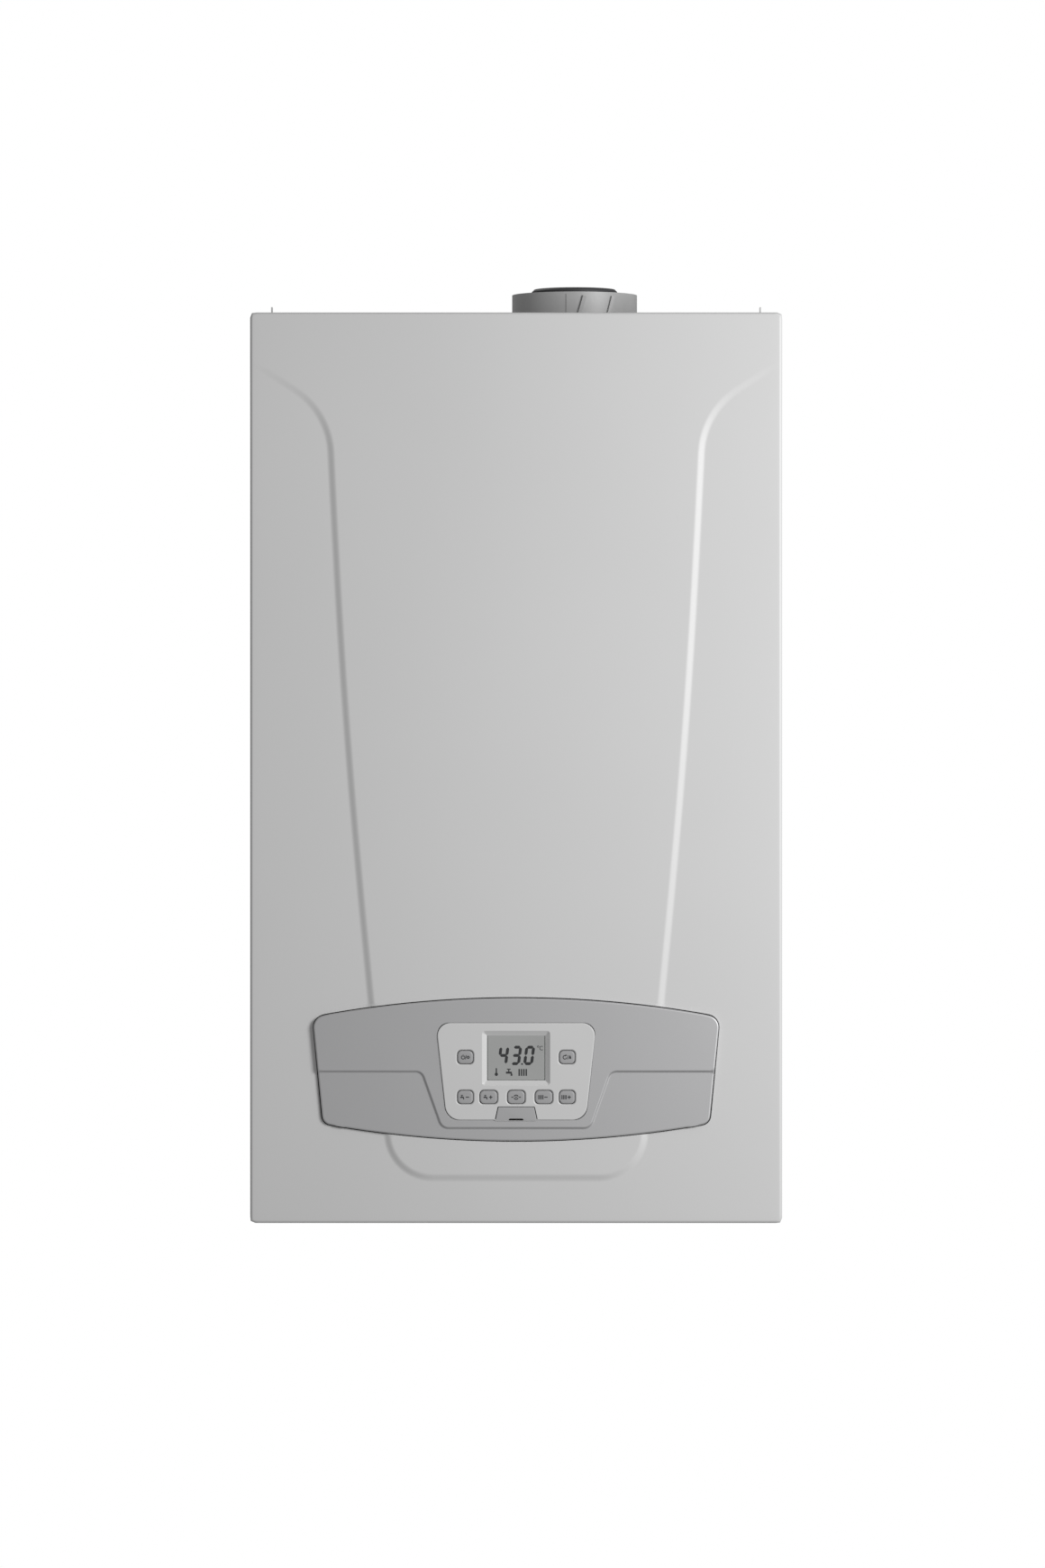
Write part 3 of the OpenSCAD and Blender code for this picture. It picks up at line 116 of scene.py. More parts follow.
@dataclass(frozen=True)
class Finish:
    """A surface finish worked out from what the real material is.

    Args:
        name: plain name of the material.
        colour: main sRGB hex colour.
        shade: sRGB hex colour of its darker patches.
        metallic: share of metal.
        roughness: typical roughness.
        spread: how far the roughness wanders.
        grain_mm: size of the surface's grain.
        grain_depth: strength of the bump.
        patch_mm: size of the slow colour changes.
        coat: clear coat weight.
        clear: share of light let straight through.
        stretch: how much longer the grain runs along X, Y and Z.
    """

    name: str
    colour: str
    shade: str
    metallic: float = 0.0
    roughness: float = 0.4
    spread: float = 0.05
    grain_mm: float = 1.0
    grain_depth: float = 0.05
    patch_mm: float = 120.0
    coat: float = 0.0
    clear: float = 0.0
    stretch: Triple = (1.0, 1.0, 1.0)

    def make(self) -> bpy.types.Material:
        """Build the node material, with colour, roughness and grain from noise of real size.

        Returns:
            The material.
        """
        known = bpy.data.materials.get(self.name)
        if known:
            return known
        mat = bpy.data.materials.new(self.name)
        mat.use_nodes = True
        tree = mat.node_tree
        shader = tree.nodes["Principled BSDF"]
        where = add_node(tree, "TexCoord").outputs["Object"]
        patch = add_node(tree, "TexNoise", Vector=where, Scale=1000 / self.patch_mm, Detail=3.0)
        squeezed = add_node(tree, "Mapping", Vector=where, Scale=tuple(1 / s for s in self.stretch))
        grain = add_node(tree, "TexNoise", Vector=squeezed.outputs[0], Scale=1000 / self.grain_mm,
                         Detail=2.0).outputs["Fac"]
        blend = add_node(tree, "ValToRGB", Fac=patch.outputs["Fac"])
        for stop, at, code in zip(blend.color_ramp.elements, (0.3, 0.6), (self.shade, self.colour)):
            stop.position, stop.color = at, linear(code)
        rough = add_node(tree, "MapRange", Value=grain, To_Min=self.roughness - self.spread,
                         To_Max=self.roughness + self.spread)
        bump = add_node(tree, "Bump", Height=grain, Strength=self.grain_depth, Distance=BUMP_HEIGHT)
        tree.links.new(blend.outputs["Color"], shader.inputs["Base Color"])
        tree.links.new(rough.outputs[0], shader.inputs["Roughness"])
        tree.links.new(bump.outputs[0], shader.inputs["Normal"])
        shader.inputs["Metallic"].default_value = self.metallic
        shader.inputs["Coat Weight"].default_value = self.coat
        shader.inputs["Alpha"].default_value = 1 - self.clear
        return mat


# Polyester powder coat on steel: an even light grey with a very fine orange peel and a soft sheen
POWDER_COAT = Finish("powder_coated_steel", "cbcbcb", "c9c9c9", roughness=0.5, spread=0.03,
                     grain_mm=1.6, patch_mm=300)
# Hot-dip galvanised sheet: dull grey with paler spangle patches
GALVANISED = Finish("galvanised_sheet", "b4b7b8", "a6aaac", metallic=0.6, roughness=0.46, spread=0.08,
                    grain_mm=3.0, grain_depth=0.04, patch_mm=9)
# ABS moulding under silver metallic lacquer: mid grey, satin, with the flake's fine grain
FASCIA_ABS = Finish("silver_lacquered_abs", "c0c0c1", "bdbdbe", metallic=0.75, roughness=0.56,
                    spread=0.03, grain_mm=0.9, grain_depth=0.04, patch_mm=200)
# ABS of the service flap: the same grey without the lacquer's flake
FLAP_ABS = Finish("satin_grey_abs", "a6a6a7", "a2a2a3", roughness=0.5, spread=0.03, grain_mm=0.9)
# Moulded ABS, satin: the light insert round the display
BEZEL_ABS = Finish("satin_light_abs", "cbcbcb", "c8c8c8", roughness=0.34, spread=0.03, grain_mm=0.8,
                   grain_depth=0.03, patch_mm=150)
# Silicone-coated key caps: dull mid grey
KEY_SILICONE = Finish("grey_key_silicone", "a0a0a1", "9b9b9c", roughness=0.5, spread=0.04,
                      grain_mm=0.6, patch_mm=30)
# Printed key legends and display segments: flat dark ink
LEGEND_INK = Finish("dark_legend_ink", "2b2c2e", "242527", roughness=0.55, grain_mm=0.4,
                    grain_depth=0.02)
# Liquid crystal cell: a grey mirror film seen through a clear window
DISPLAY_FILM = Finish("display_film", "a0a1a0", "9c9d9c", roughness=0.35, spread=0.03, grain_mm=0.5,
                      grain_depth=0.01, patch_mm=60)
# EPDM lip seal: soft black with a chalky sheen
SEAL_RUBBER = Finish("epdm_seal", "404042", "39393b", roughness=0.62, grain_mm=0.7, grain_depth=0.03)
# Painted cast aluminium of the flue collar: grey, satin, slightly uneven
COLLAR_PAINT = Finish("painted_cast_collar", "aeaeae", "a8a8a8", metallic=0.05, roughness=0.5,
                      grain_mm=1.2, patch_mm=40)
# Polypropylene flue pipe: translucent grey-white, waxy
FLUE_PLASTIC = Finish("polypropylene_pipe", "b9bab6", "aeb0ab", roughness=0.45, spread=0.04,
                      grain_depth=0.04)
# Deep-drawn stainless steel: brushed round the shell
STAINLESS = Finish("drawn_stainless", "b8bab9", "a5a7a6", metallic=1.0, roughness=0.3, spread=0.08,
                   grain_mm=0.8, grain_depth=0.06, patch_mm=60, stretch=(1, 1, 18))
# Die-cast aluminium: bright grey with a grainy skin
DIE_CAST = Finish("die_cast_aluminium", "a7a9ab", "96989a", metallic=0.9, roughness=0.46, spread=0.08,
                  grain_mm=0.9, grain_depth=0.12, patch_mm=50)
# Machined and hot-pressed brass: warm yellow, slightly tarnished
BRASS = Finish("hot_pressed_brass", "c2a165", "a2824c", metallic=1.0, roughness=0.32, spread=0.08,
               grain_mm=1.2, grain_depth=0.08, patch_mm=30)
# Drawn copper pipe: salmon with darker handling marks
COPPER = Finish("drawn_copper", "c9825f", "a5623f", metallic=1.0, roughness=0.28, spread=0.08,
                grain_mm=1.5, grain_depth=0.04, patch_mm=35)
# Glass-filled nylon: black with a faint grey bloom
BLACK_NYLON = Finish("glass_filled_nylon", "26272a", "1c1d1f", roughness=0.5, spread=0.06,
                     grain_mm=0.8, grain_depth=0.1)
# Polypropylene moulding of trap and hose: soft light grey
TRAP_PLASTIC = Finish("grey_polypropylene", "90949a", "84888e", roughness=0.42, spread=0.04)
# Glass-fibre circuit board under green solder resist
BOARD_RESIST = Finish("solder_resist_board", "1f5a37", "184a2c", roughness=0.32, grain_mm=2.0,
                      patch_mm=9, coat=0.3)
# Stoved enamel of the vessel and the glossy red of the safety valve's knob
RED_ENAMEL = Finish("red_stoving_enamel", "a3201c", "8f1a17", roughness=0.3, spread=0.04,
                    grain_mm=1.4, patch_mm=80, coat=0.3)
# Acrylic window over the display, faintly smoky
WINDOW = Finish("acrylic_window", "b6b8b6", "b2b4b2", roughness=0.12, spread=0.02, grain_mm=5.0,
                grain_depth=0.0, clear=0.88)
# Glazed alumina: milky white
ALUMINA = Finish("glazed_alumina", "e6e2d8", "dcd7cb", roughness=0.22, spread=0.03, grain_depth=0.02)

SLOT_FINISH: dict[str, Finish] = {
    "casing_paint": POWDER_COAT, "zinc_steel": GALVANISED, "seal_rubber": SEAL_RUBBER,
    "collar_alloy": COLLAR_PAINT, "duct_plastic": FLUE_PLASTIC, "stainless": STAINLESS,
    "cast_alloy": DIE_CAST, "brass": BRASS, "copper": COPPER, "ceramic": ALUMINA,
    "black_plastic": BLACK_NYLON, "grey_plastic": TRAP_PLASTIC, "light_plastic": FLUE_PLASTIC,
    "button_plastic": KEY_SILICONE, "board_green": BOARD_RESIST, "red_paint": RED_ENAMEL,
    "red_plastic": RED_ENAMEL, "display_glass": WINDOW,
}


def curve_distance(points: Array, line: Array) -> Array:
    """Shortest distance from each point to an open polyline.

    Args:
        points: N by 2.
        line: M by 2.

    Returns:
        N distances.
    """
    start, step = line[:-1], np.diff(line, axis=0)
    length = np.maximum((step ** 2).sum(1), 1e-12)
    out = []
    for part in np.array_split(points, max(1, len(points) * len(start) // 2_000_000)):
        rel = part[:, None] - start[None]
        along = np.clip((rel * step).sum(-1) / length, 0, 1)
        out.append(np.linalg.norm(rel - along[..., None] * step, axis=-1).min(1))
    return np.concatenate(out)


def within(points: Array, loop: Array) -> Array:
    """Tell which points lie inside a closed loop, by counting the edges crossed to their right.

    Args:
        points: N by 2.
        loop: M by 2.

    Returns:
        N truth values.
    """
    a, b = loop, np.roll(loop, -1, axis=0)
    x, y = points[:, None, 0], points[:, None, 1]
    straddle = (a[None, :, 1] > y) != (b[None, :, 1] > y)
    rise = np.where(b[:, 1] == a[:, 1], 1e-12, b[:, 1] - a[:, 1])
    cross = a[:, 0] + (y - a[:, 1]) * (b[:, 0] - a[:, 0]) / rise
    return (straddle & (x < cross)).sum(1) % 2 == 1


def depth_inside(points: Array, loop: Array) -> Array:
    """Signed distance to a closed loop, positive inside.

    Args:
        points: N by 2.
        loop: M by 2.

    Returns:
        N distances.
    """
    far = curve_distance(points, np.vstack([loop, loop[:1]]))
    return np.where(within(points, loop), far, -far)


def smooth(value: Array) -> Array:
    """Ease from 0 to 1 with level ends.

    Args:
        value: any values; below 0 gives 0 and above 1 gives 1.

    Returns:
        Eased values.
    """
    t = np.clip(value, 0, 1)
    return t * t * (3 - 2 * t)


def resample(line: Array, step: float, closed: bool = True) -> Array:
    """Space points evenly along a line.

    Args:
        line: M by 2 points.
        step: wanted spacing.
        closed: whether the line returns to its start.

    Returns:
        Evenly spaced points, without the repeated end when closed.
    """
    path = np.vstack([line, line[:1]]) if closed else line
    run = np.concatenate([[0], np.cumsum(np.linalg.norm(np.diff(path, axis=0), axis=1))])
    count = max(8, round(run[-1] / step))
    at = np.linspace(0, run[-1], count + 1)[:-1 if closed else None]
    return np.stack([np.interp(at, run, path[:, k]) for k in range(2)], axis=1)


def outward(loop: Array, closed: bool = True) -> Array:
    """Unit normals to the right of the line's direction, outward for an anticlockwise loop.

    Args:
        loop: M by 2 points.
        closed: whether the line returns to its start.

    Returns:
        M by 2 normals.
    """
    ahead = np.roll(loop, -1, axis=0) - np.roll(loop, 1, axis=0)
    if not closed:
        ahead[0], ahead[-1] = loop[1] - loop[0], loop[-1] - loop[-2]
    normal = np.stack([ahead[:, 1], -ahead[:, 0]], axis=1)
    return normal / np.maximum(np.linalg.norm(normal, axis=1, keepdims=True), 1e-9)


def rounded(corners: Sequence[Triple], steps: int = 8) -> Array:
    """Round the corners of an anticlockwise polygon.

    Args:
        corners: x, z and radius of each corner.
        steps: points per corner.

    Returns:
        The loop's points.
    """
    pts = np.array(corners, float)
    loop: list[Array] = []
    for before, here, after in zip(np.roll(pts, 1, 0), pts, np.roll(pts, -1, 0)):
        u = (before - here)[:2] / np.linalg.norm((before - here)[:2])
        v = (after - here)[:2] / np.linalg.norm((after - here)[:2])
        half = math.acos(float(np.clip(u @ v, -1, 1))) / 2
        if here[2] <= 0:
            loop.append(here[None, :2])
            continue
        centre = here[:2] + (u + v) / np.linalg.norm(u + v) * here[2] / math.sin(half)
        first = here[:2] + u * here[2] / math.tan(half) - centre
        sign = 1 if u[0] * v[1] - u[1] * v[0] < 0 else -1
        turn = sign * (math.pi - 2 * half) * np.linspace(0, 1, steps)
        loop.append(centre + np.stack([first[0] * np.cos(turn) - first[1] * np.sin(turn),
                                       first[0] * np.sin(turn) + first[1] * np.cos(turn)], axis=1))
    return np.vstack(loop)


def rectangle(width: float, height: float, radius: float, x: float = 0.0, z: float = 0.0) -> Array:
    """Rounded rectangle, anticlockwise.

    Args:
        width: size across.
        height: size up.
        radius: corner radius.
        x: centre across.
        z: centre up.

    Returns:
        The loop's points.
    """
    w, h = width / 2, height / 2
    return rounded([(x - w, z - h, radius), (x + w, z - h, radius), (x + w, z + h, radius),
                    (x - w, z + h, radius)])


def placed(x: Array, depth: Array, z: Array) -> Array:
    """Turn across, distance from the wall and height into the shared frame, in metres.

    Args:
        x: across, in mm.
        depth: distance in front of the wall, in mm.
        z: height above the casing's lower edge, in mm.

    Returns:
        N by 3 points.
    """
    x, depth, z = np.broadcast_arrays(x, depth, z)
    return np.stack([x, -depth, z - HANG], axis=-1).reshape(-1, 3) * MM


def add_piece(name: str, points: Array, faces: Iterable[Sequence[int]], finish: Finish,
              body: Body | str) -> Piece:
    """Make a piece from points and faces, smooth where it bends less than the sharp angle.

    Args:
        name: the piece's plain name.
        points: N by 3 points in metres.
        faces: vertex indices of each face, anticlockwise from outside.
        finish: what it is made of.
        body: the body that it rides on.

    Returns:
        The object.
    """
    mesh = bpy.data.meshes.new(name)
    mesh.from_pydata(points.tolist(), [], [tuple(int(i) for i in f) for f in faces])
    mesh.validate()
    mesh.polygons.foreach_set("use_smooth", [True] * len(mesh.polygons))
    mesh.set_sharp_from_angle(angle=math.radians(SHARP))
    mesh.materials.append(finish.make())
    piece = bpy.data.objects.new(name, mesh)
    bpy.context.scene.collection.objects.link(piece)
    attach(piece, body.value if isinstance(body, Body) else body)
    return piece


def strips(rows: int, count: int, start: int, inward: bool = False) -> Array:
    """Faces between closed rows of equal length, laid one after another.

    Args:
        rows: number of rows.
        count: points per row.
        start: index of the first row's first point.
        inward: turn the faces the other way round.

    Returns:
        Quads as rows of four indices.
    """
    k = np.arange(count)
    nxt = (k + 1) % count
    r = start + np.arange(rows - 1)[:, None] * count
    quads = np.stack([r + nxt, r + k, r + count + k, r + count + nxt], axis=-1).reshape(-1, 4)
    return quads[:, ::-1] if inward else quads


@dataclass
class Rim:
    """How a sheet's edge goes on: rows of offset from the edge and of depth behind the face.

    Args:
        loop: the edge, anticlockwise.
        rows: outward offset and fall behind the edge, in mm, for each further row.
        flat: a row's depth from the wall in place of its fall, or a function of the edge for it.
    """

    loop: Array
    rows: list[Pair]
    flat: dict[int, float | Callable[[Array], Array]] = field(default_factory=dict)

    def level(self, row: int, edge: Array, face: Array) -> Array:
        """Depths of one row.

        Args:
            row: which row.
            edge: the edge's points.
            face: depth of the sheet's face at each of them.

        Returns:
            The given flat depths, or else depths behind the face.
        """
        given = self.flat.get(row)
        if given is None:
            return face - self.rows[row][1]
        return given(edge) if callable(given) else np.full(len(edge), given)

    @staticmethod
    def rolled(radius: float, steps: int = 5) -> list[Pair]:
        """Rows of a quarter round that ends square to the face.

        Args:
            radius: outer radius in mm.
            steps: number of rows.

        Returns:
            Offsets and falls.
        """
        turn = np.linspace(0, math.pi / 2, steps + 1)[1:]
        return [(radius * math.sin(a), radius * (1 - math.cos(a))) for a in turn]


@dataclass
class PressedSheet:
    """A sheet face of any outline, with holes, feature lines and turned edges.

    Args:
        name: the piece's name.
        outer: its outer edge.
        holes: its holes.
        relief: depth from the wall at each x and z.
        lines: open feature lines, each with the offsets at which points are laid along it.
        step: spacing of the plain grid in mm.
        fine: spacing along edges and feature lines in mm.
        thickness: of the sheet, in mm.
    """

    name: str
    outer: Rim
    holes: list[Rim]
    relief: Callable[[Array, Array], Array]
    lines: list[tuple[Array, Sequence[float]]] = field(default_factory=list)
    step: float = 8.0
    fine: float = 2.5
    thickness: float = 1.2

    def scatter(self, edges: list[Array]) -> Array:
        """Lay points on a plain grid and along the feature lines, clear of the edges.

        Args:
            edges: the resampled outer edge and holes.

        Returns:
            N by 2 points.
        """
        low, high = edges[0].min(0), edges[0].max(0)
        gx, gz = np.meshgrid(*(np.arange(low[k], high[k], self.step) for k in (0, 1)))
        shift = self.step / 2 * (np.round(gz / self.step) % 2)
        grid = np.stack([gx + shift, gz], axis=-1).reshape(-1, 2)
        rows = [edge + outward(edge) * (d if k else -d)
                for k, edge in enumerate(edges) for d in BESIDE_EDGE]
        for line, offsets in self.lines:
            dense = resample(line, self.fine, False)
            side = outward(dense, False)
            rows += [dense + side * d for d in offsets]
            grid = grid[curve_distance(grid, dense) > max(abs(d) for d in offsets) + self.fine / 2]
        kept = []
        for points, clear in ((np.vstack(rows), FINE_CLEAR), (grid, GRID_CLEAR)):
            inside = [depth_inside(points, edge) * (-1 if k else 1) for k, edge in enumerate(edges)]
            kept.append(points[np.min(inside, axis=0) > clear])
        return np.vstack(kept)

    def build(self, finish: Finish, body: Body | str) -> Piece:
        """Triangulate the face between its edges, lift it by the relief and turn its edges.

        Args:
            finish: what it is made of.
            body: the body that it rides on.

        Returns:
            The object, with its thickness as a modifier.
        """
        rims = [self.outer, *self.holes]
        edges = [resample(r.loop, self.fine) for r in rims]
        inner = self.scatter(edges)
        flat = np.vstack([*edges, inner])
        loops, at = [], 0
        for edge in edges:
            loops.append(list(range(at, at + len(edge))))
            at += len(edge)
        given = [Vector(p) for p in flat]
        verts, _, tris, origin, _, face_of = delaunay_2d_cdt(given, [], loops, 1, 1e-5)
        flat = np.array([tuple(v) for v in verts])
        index = {old: new for new, olds in enumerate(origin) for old in olds}
        faces = [list(t) for t, owners in zip(tris, face_of) if set(owners) == {0}]
        depth = self.relief(flat[:, 0], flat[:, 1])
        points = [placed(flat[:, 0], depth, flat[:, 1])]
        count = len(flat)
        for k, (rim, edge, loop) in enumerate(zip(rims, edges, loops)):
            base = np.array([index[i] for i in loop])
            side = outward(edge) * (1 if k == 0 else -1)
            edge_depth = depth[base]
            rows = [edge + side * off for off, _ in rim.rows]
            for i, row in enumerate(rows):
                points.append(placed(row[:, 0], rim.level(i, edge, edge_depth), row[:, 1]))
            size = len(edge)
            nxt = np.roll(np.arange(size), -1)
            first = np.stack([base[nxt], base, count + np.arange(size), count + nxt], axis=1)
            more = strips(len(rows), size, count)
            quads = np.vstack([first, more])
            faces += (quads if k == 0 else quads[:, ::-1]).tolist()
            count += size * len(rows)
        piece = add_piece(self.name, np.vstack(points), faces, finish, body)
        if self.thickness > 0:
            solid = piece.modifiers.new("thickness", "SOLIDIFY")
            solid.thickness = self.thickness * MM
            solid.offset = -1
        log.info("%s: %d points, %d faces", self.name, count, len(faces))
        return piece


@dataclass
class Lofted:
    """A closed solid through stacked loops, such as a key cap.

    Args:
        name: the piece's name.
        loop: its outline, anticlockwise.
        rows: inset from the outline and depth from the wall of each row, from back to front.
    """

    name: str
    loop: Array
    rows: list[Pair]

    def mesh(self) -> tuple[Array, list[list[int]]]:
        """Stack the loops and close both ends.

        Returns:
            Points in metres and faces.
        """
        side = outward(self.loop)
        size = len(self.loop)
        loops = [(self.loop - side * inset, depth) for inset, depth in self.rows]
        points = np.vstack([placed(row[:, 0], depth, row[:, 1]) for row, depth in loops])
        faces = strips(len(self.rows), size, 0, inward=True).tolist()
        faces.append(list(range(size))[::-1])
        faces.append(list(range((len(self.rows) - 1) * size, len(self.rows) * size)))
        return points, faces

    def build(self, finish: Finish, body: Body | str) -> Piece:
        """Make the object.

        Args:
            finish: what it is made of.
            body: the body that it rides on.

        Returns:
            The object.
        """
        points, faces = self.mesh()
        return add_piece(self.name, points, faces, finish, body)


@dataclass
class Bar:
    """A round bar across the casing, closed at both ends.

    Args:
        name: the piece's name.
        ends: where it starts and ends across.
        depth: of its axis, from the wall.
        z: of its axis.
        radius: of the bar.
    """

    name: str
    ends: Sequence[float]
    depth: float
    z: float
    radius: float

    def build(self, finish: Finish, body: Body | str) -> Piece:
        """Turn circles of (depth + r cos t, z + r sin t) at both ends, each with a small chamfer.

        Args:
            finish: what it is made of.
            body: the body that it rides on.

        Returns:
            The object.
        """
        turn = np.linspace(0, 2 * np.pi, 24, endpoint=False)
        bevel = self.radius * 0.2
        low, high = self.ends
        rings = ((low, self.radius - bevel), (low + bevel, self.radius), (high - bevel, self.radius),
                 (high, self.radius - bevel))
        points = np.vstack([placed(x, self.depth + r * np.cos(turn), self.z + r * np.sin(turn))
                            for x, r in rings])
        faces = strips(4, 24, 0).tolist() + [list(range(24)), list(range(72, 96))[::-1]]
        return add_piece(self.name, points, faces, finish, body)


def shield_edge() -> Array:
    """Outline of the raised shield on the cover, from the foot up both sides and out past the top.

    Returns:
        Anticlockwise loop in x and z.
    """
    foot_r, foot_top, foot_x = 38.0, FOOT_Z + 38.0, FOOT_HALF + 38.0
    knee_x, knee_z = 122.5, 185.4
    lean, bulge, bulge_run = 0.0733, 3.6, 466.9
    flare_x, flare_z, flare_r, flare_turn = 223.6, 648.3, 67.0, math.radians(33)
    fade_z, far_x, far_z = 728.0, 400.0, 900.0
    turn = np.radians(np.linspace(0, 90, 14))
    foot = np.stack([FOOT_HALF + foot_r * np.sin(turn), FOOT_Z + foot_r * (1 - np.cos(turn))], 1)
    z = np.linspace(foot_top, knee_z, 12)[1:]
    low = np.stack([foot_x + (knee_x - foot_x) * (z - foot_top) / (knee_z - foot_top), z], 1)
    z = np.linspace(knee_z, flare_z + 4, 60)[1:]
    up = z - knee_z
    side = np.stack([knee_x + lean * up + bulge * np.sin(np.pi * up / bulge_run), z], 1)
    z = np.linspace(flare_z + 4, flare_z + flare_r * math.cos(flare_turn), 16)[1:]
    flare = np.stack([flare_x - np.sqrt(flare_r ** 2 - (z - flare_z) ** 2), z], 1)
    start = flare[-1, 1]
    z = np.linspace(start, fade_z, 8)[1:]
    end_x = flare_x - flare_r * math.sin(flare_turn)
    out = np.stack([end_x + (z - start) / math.tan(flare_turn), z], 1)
    right = np.vstack([foot, low, side, flare, out])
    past = [[far_x, fade_z], [far_x, far_z], [-far_x, far_z], [-far_x, fade_z]]
    return np.vstack([right, past, right[::-1] * [-1, 1]])


def console_edge(grow: float = 0.0) -> Array:
    """Outline of the console, bowed above and below and slanted at the sides.

    Args:
        grow: how much larger all round, in mm.

    Returns:
        Anticlockwise loop in x and z.
    """
    bow_r = 920.0
    bow = lambda x: bow_r - np.sqrt(bow_r ** 2 - np.asarray(x) ** 2)
    half, low_half, top, bottom = 172.0, 163.5, 190.4, 69.7
    upper_x = np.linspace(half - 14, -(half - 14), 25)
    lower_x = np.linspace(-(low_half - 11), low_half - 11, 25)
    z1, z0 = top - bow(half), bottom + bow(low_half)
    slant = (half - low_half) / (top - bottom)
    upper = [(x, top + grow - float(bow(x)), 0.0) for x in upper_x]
    lower = [(x, bottom - grow + float(bow(x)), 0.0) for x in lower_x]
    right = [(low_half + grow - slant, z0 - grow, 8 + grow), (half + grow, z1 + grow - 0.4, 10 + grow)]
    left = [(-x, z, radius) for x, z, radius in right[::-1]]
    return rounded([*lower, *right, *upper, *left])


def bezel_edge(grow: float = 0.0) -> Array:
    """Outline of the light insert round the display.

    Args:
        grow: how much larger all round, in mm.

    Returns:
        Anticlockwise loop in x and z.
    """
    low, high = (59 + grow, 87.4 - grow, 12), (67.8 + grow, 169.5 + grow, 10)
    return rounded([(-low[0], *low[1:]), low, high, (-high[0], *high[1:])], 10)


@dataclass
class Casing:
    """The removable front cover, with its raised shield and the cut-out for the console.

    Args:
        width: outside width in mm.
        height: outside height in mm.
        edge: radius of the folded edge.
        rise: how far the shield stands out.
        crease: width of the crease round the shield.
        fade: heights between which the field comes level with the shield.
        seam: depth at which the cover's returns end.
        lip: how far the returns turn inward there.
        gap: from the console to the cut-out's edge, before it is rolled in.
        droop: how far the face falls at its edges.
        droop_run: over what distance it does so.
    """

    width: float = 450.0
    height: float = 770.0
    edge: float = 2.5
    rise: float = 2.0
    crease: float = 7.0
    fade: Pair = (640.0, 728.0)
    seam: float = 304.6
    lip: float = 13.0
    gap: float = 1.2
    droop: float = 0.12
    droop_run: float = 7.0

    def relief(self, x: Array, z: Array) -> Array:
        """Depth of the face: the field, an eased step up to the shield and a slight fall at the edges.

        Args:
            x: across.
            z: up.

        Returns:
            Depth from the wall.
        """
        low, high = self.fade
        back = 1 - np.clip((z - low) / (high - low), 0, 1) ** 2
        on = smooth(0.5 + depth_inside(np.stack([x, z], 1), self.shield) / self.crease)
        rim = np.minimum(self.width / 2 - np.abs(x), np.minimum(z, self.height - z))
        fall = self.droop * (1 - smooth(rim / self.droop_run)) ** 2
        return FRONT - self.rise * back * (1 - on) - fall

    def build(self) -> None:
        """Press the cover."""
        self.shield = shield_edge()
        wide, high = self.width - 2 * self.edge, self.height - 2 * self.edge
        face = rectangle(wide, high, 0.6, 0, self.height / 2)
        folded = Rim.rolled(self.edge, 6)
        back = len(folded)
        outer = Rim(face, [*folded, (self.edge, 0), (self.edge, 0), (self.edge - self.lip, 0)],
                    {back: FRONT - 12, back + 1: self.seam, back + 2: self.seam})
        cut = Rim(console_edge(self.gap), [*Rim.rolled(0.5, 4), (0.5, 4.5)])
        crease = self.shield[np.abs(self.shield[:, 0]) < self.width / 2 - 3]
        offsets = np.array([-4.0, -3.5, -2.8, -2.1, -1.4, -0.7, 0, 0.7, 1.4, 2.1, 2.8, 3.5, 4.0])
        lines = [(resample(crease[crease[:, 0] * s > 0], 2.0, False), offsets) for s in (1, -1)]
        foot = np.array([[-FOOT_HALF, FOOT_Z], [FOOT_HALF, FOOT_Z]])
        lines.append((foot, offsets))
        sheet = PressedSheet("front_cover_skin", outer, [cut], self.relief, lines, 8.0, 2.5)
        cover = sheet.build(POWDER_COAT, Body.COVER)
        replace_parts(cover, "front_cover")


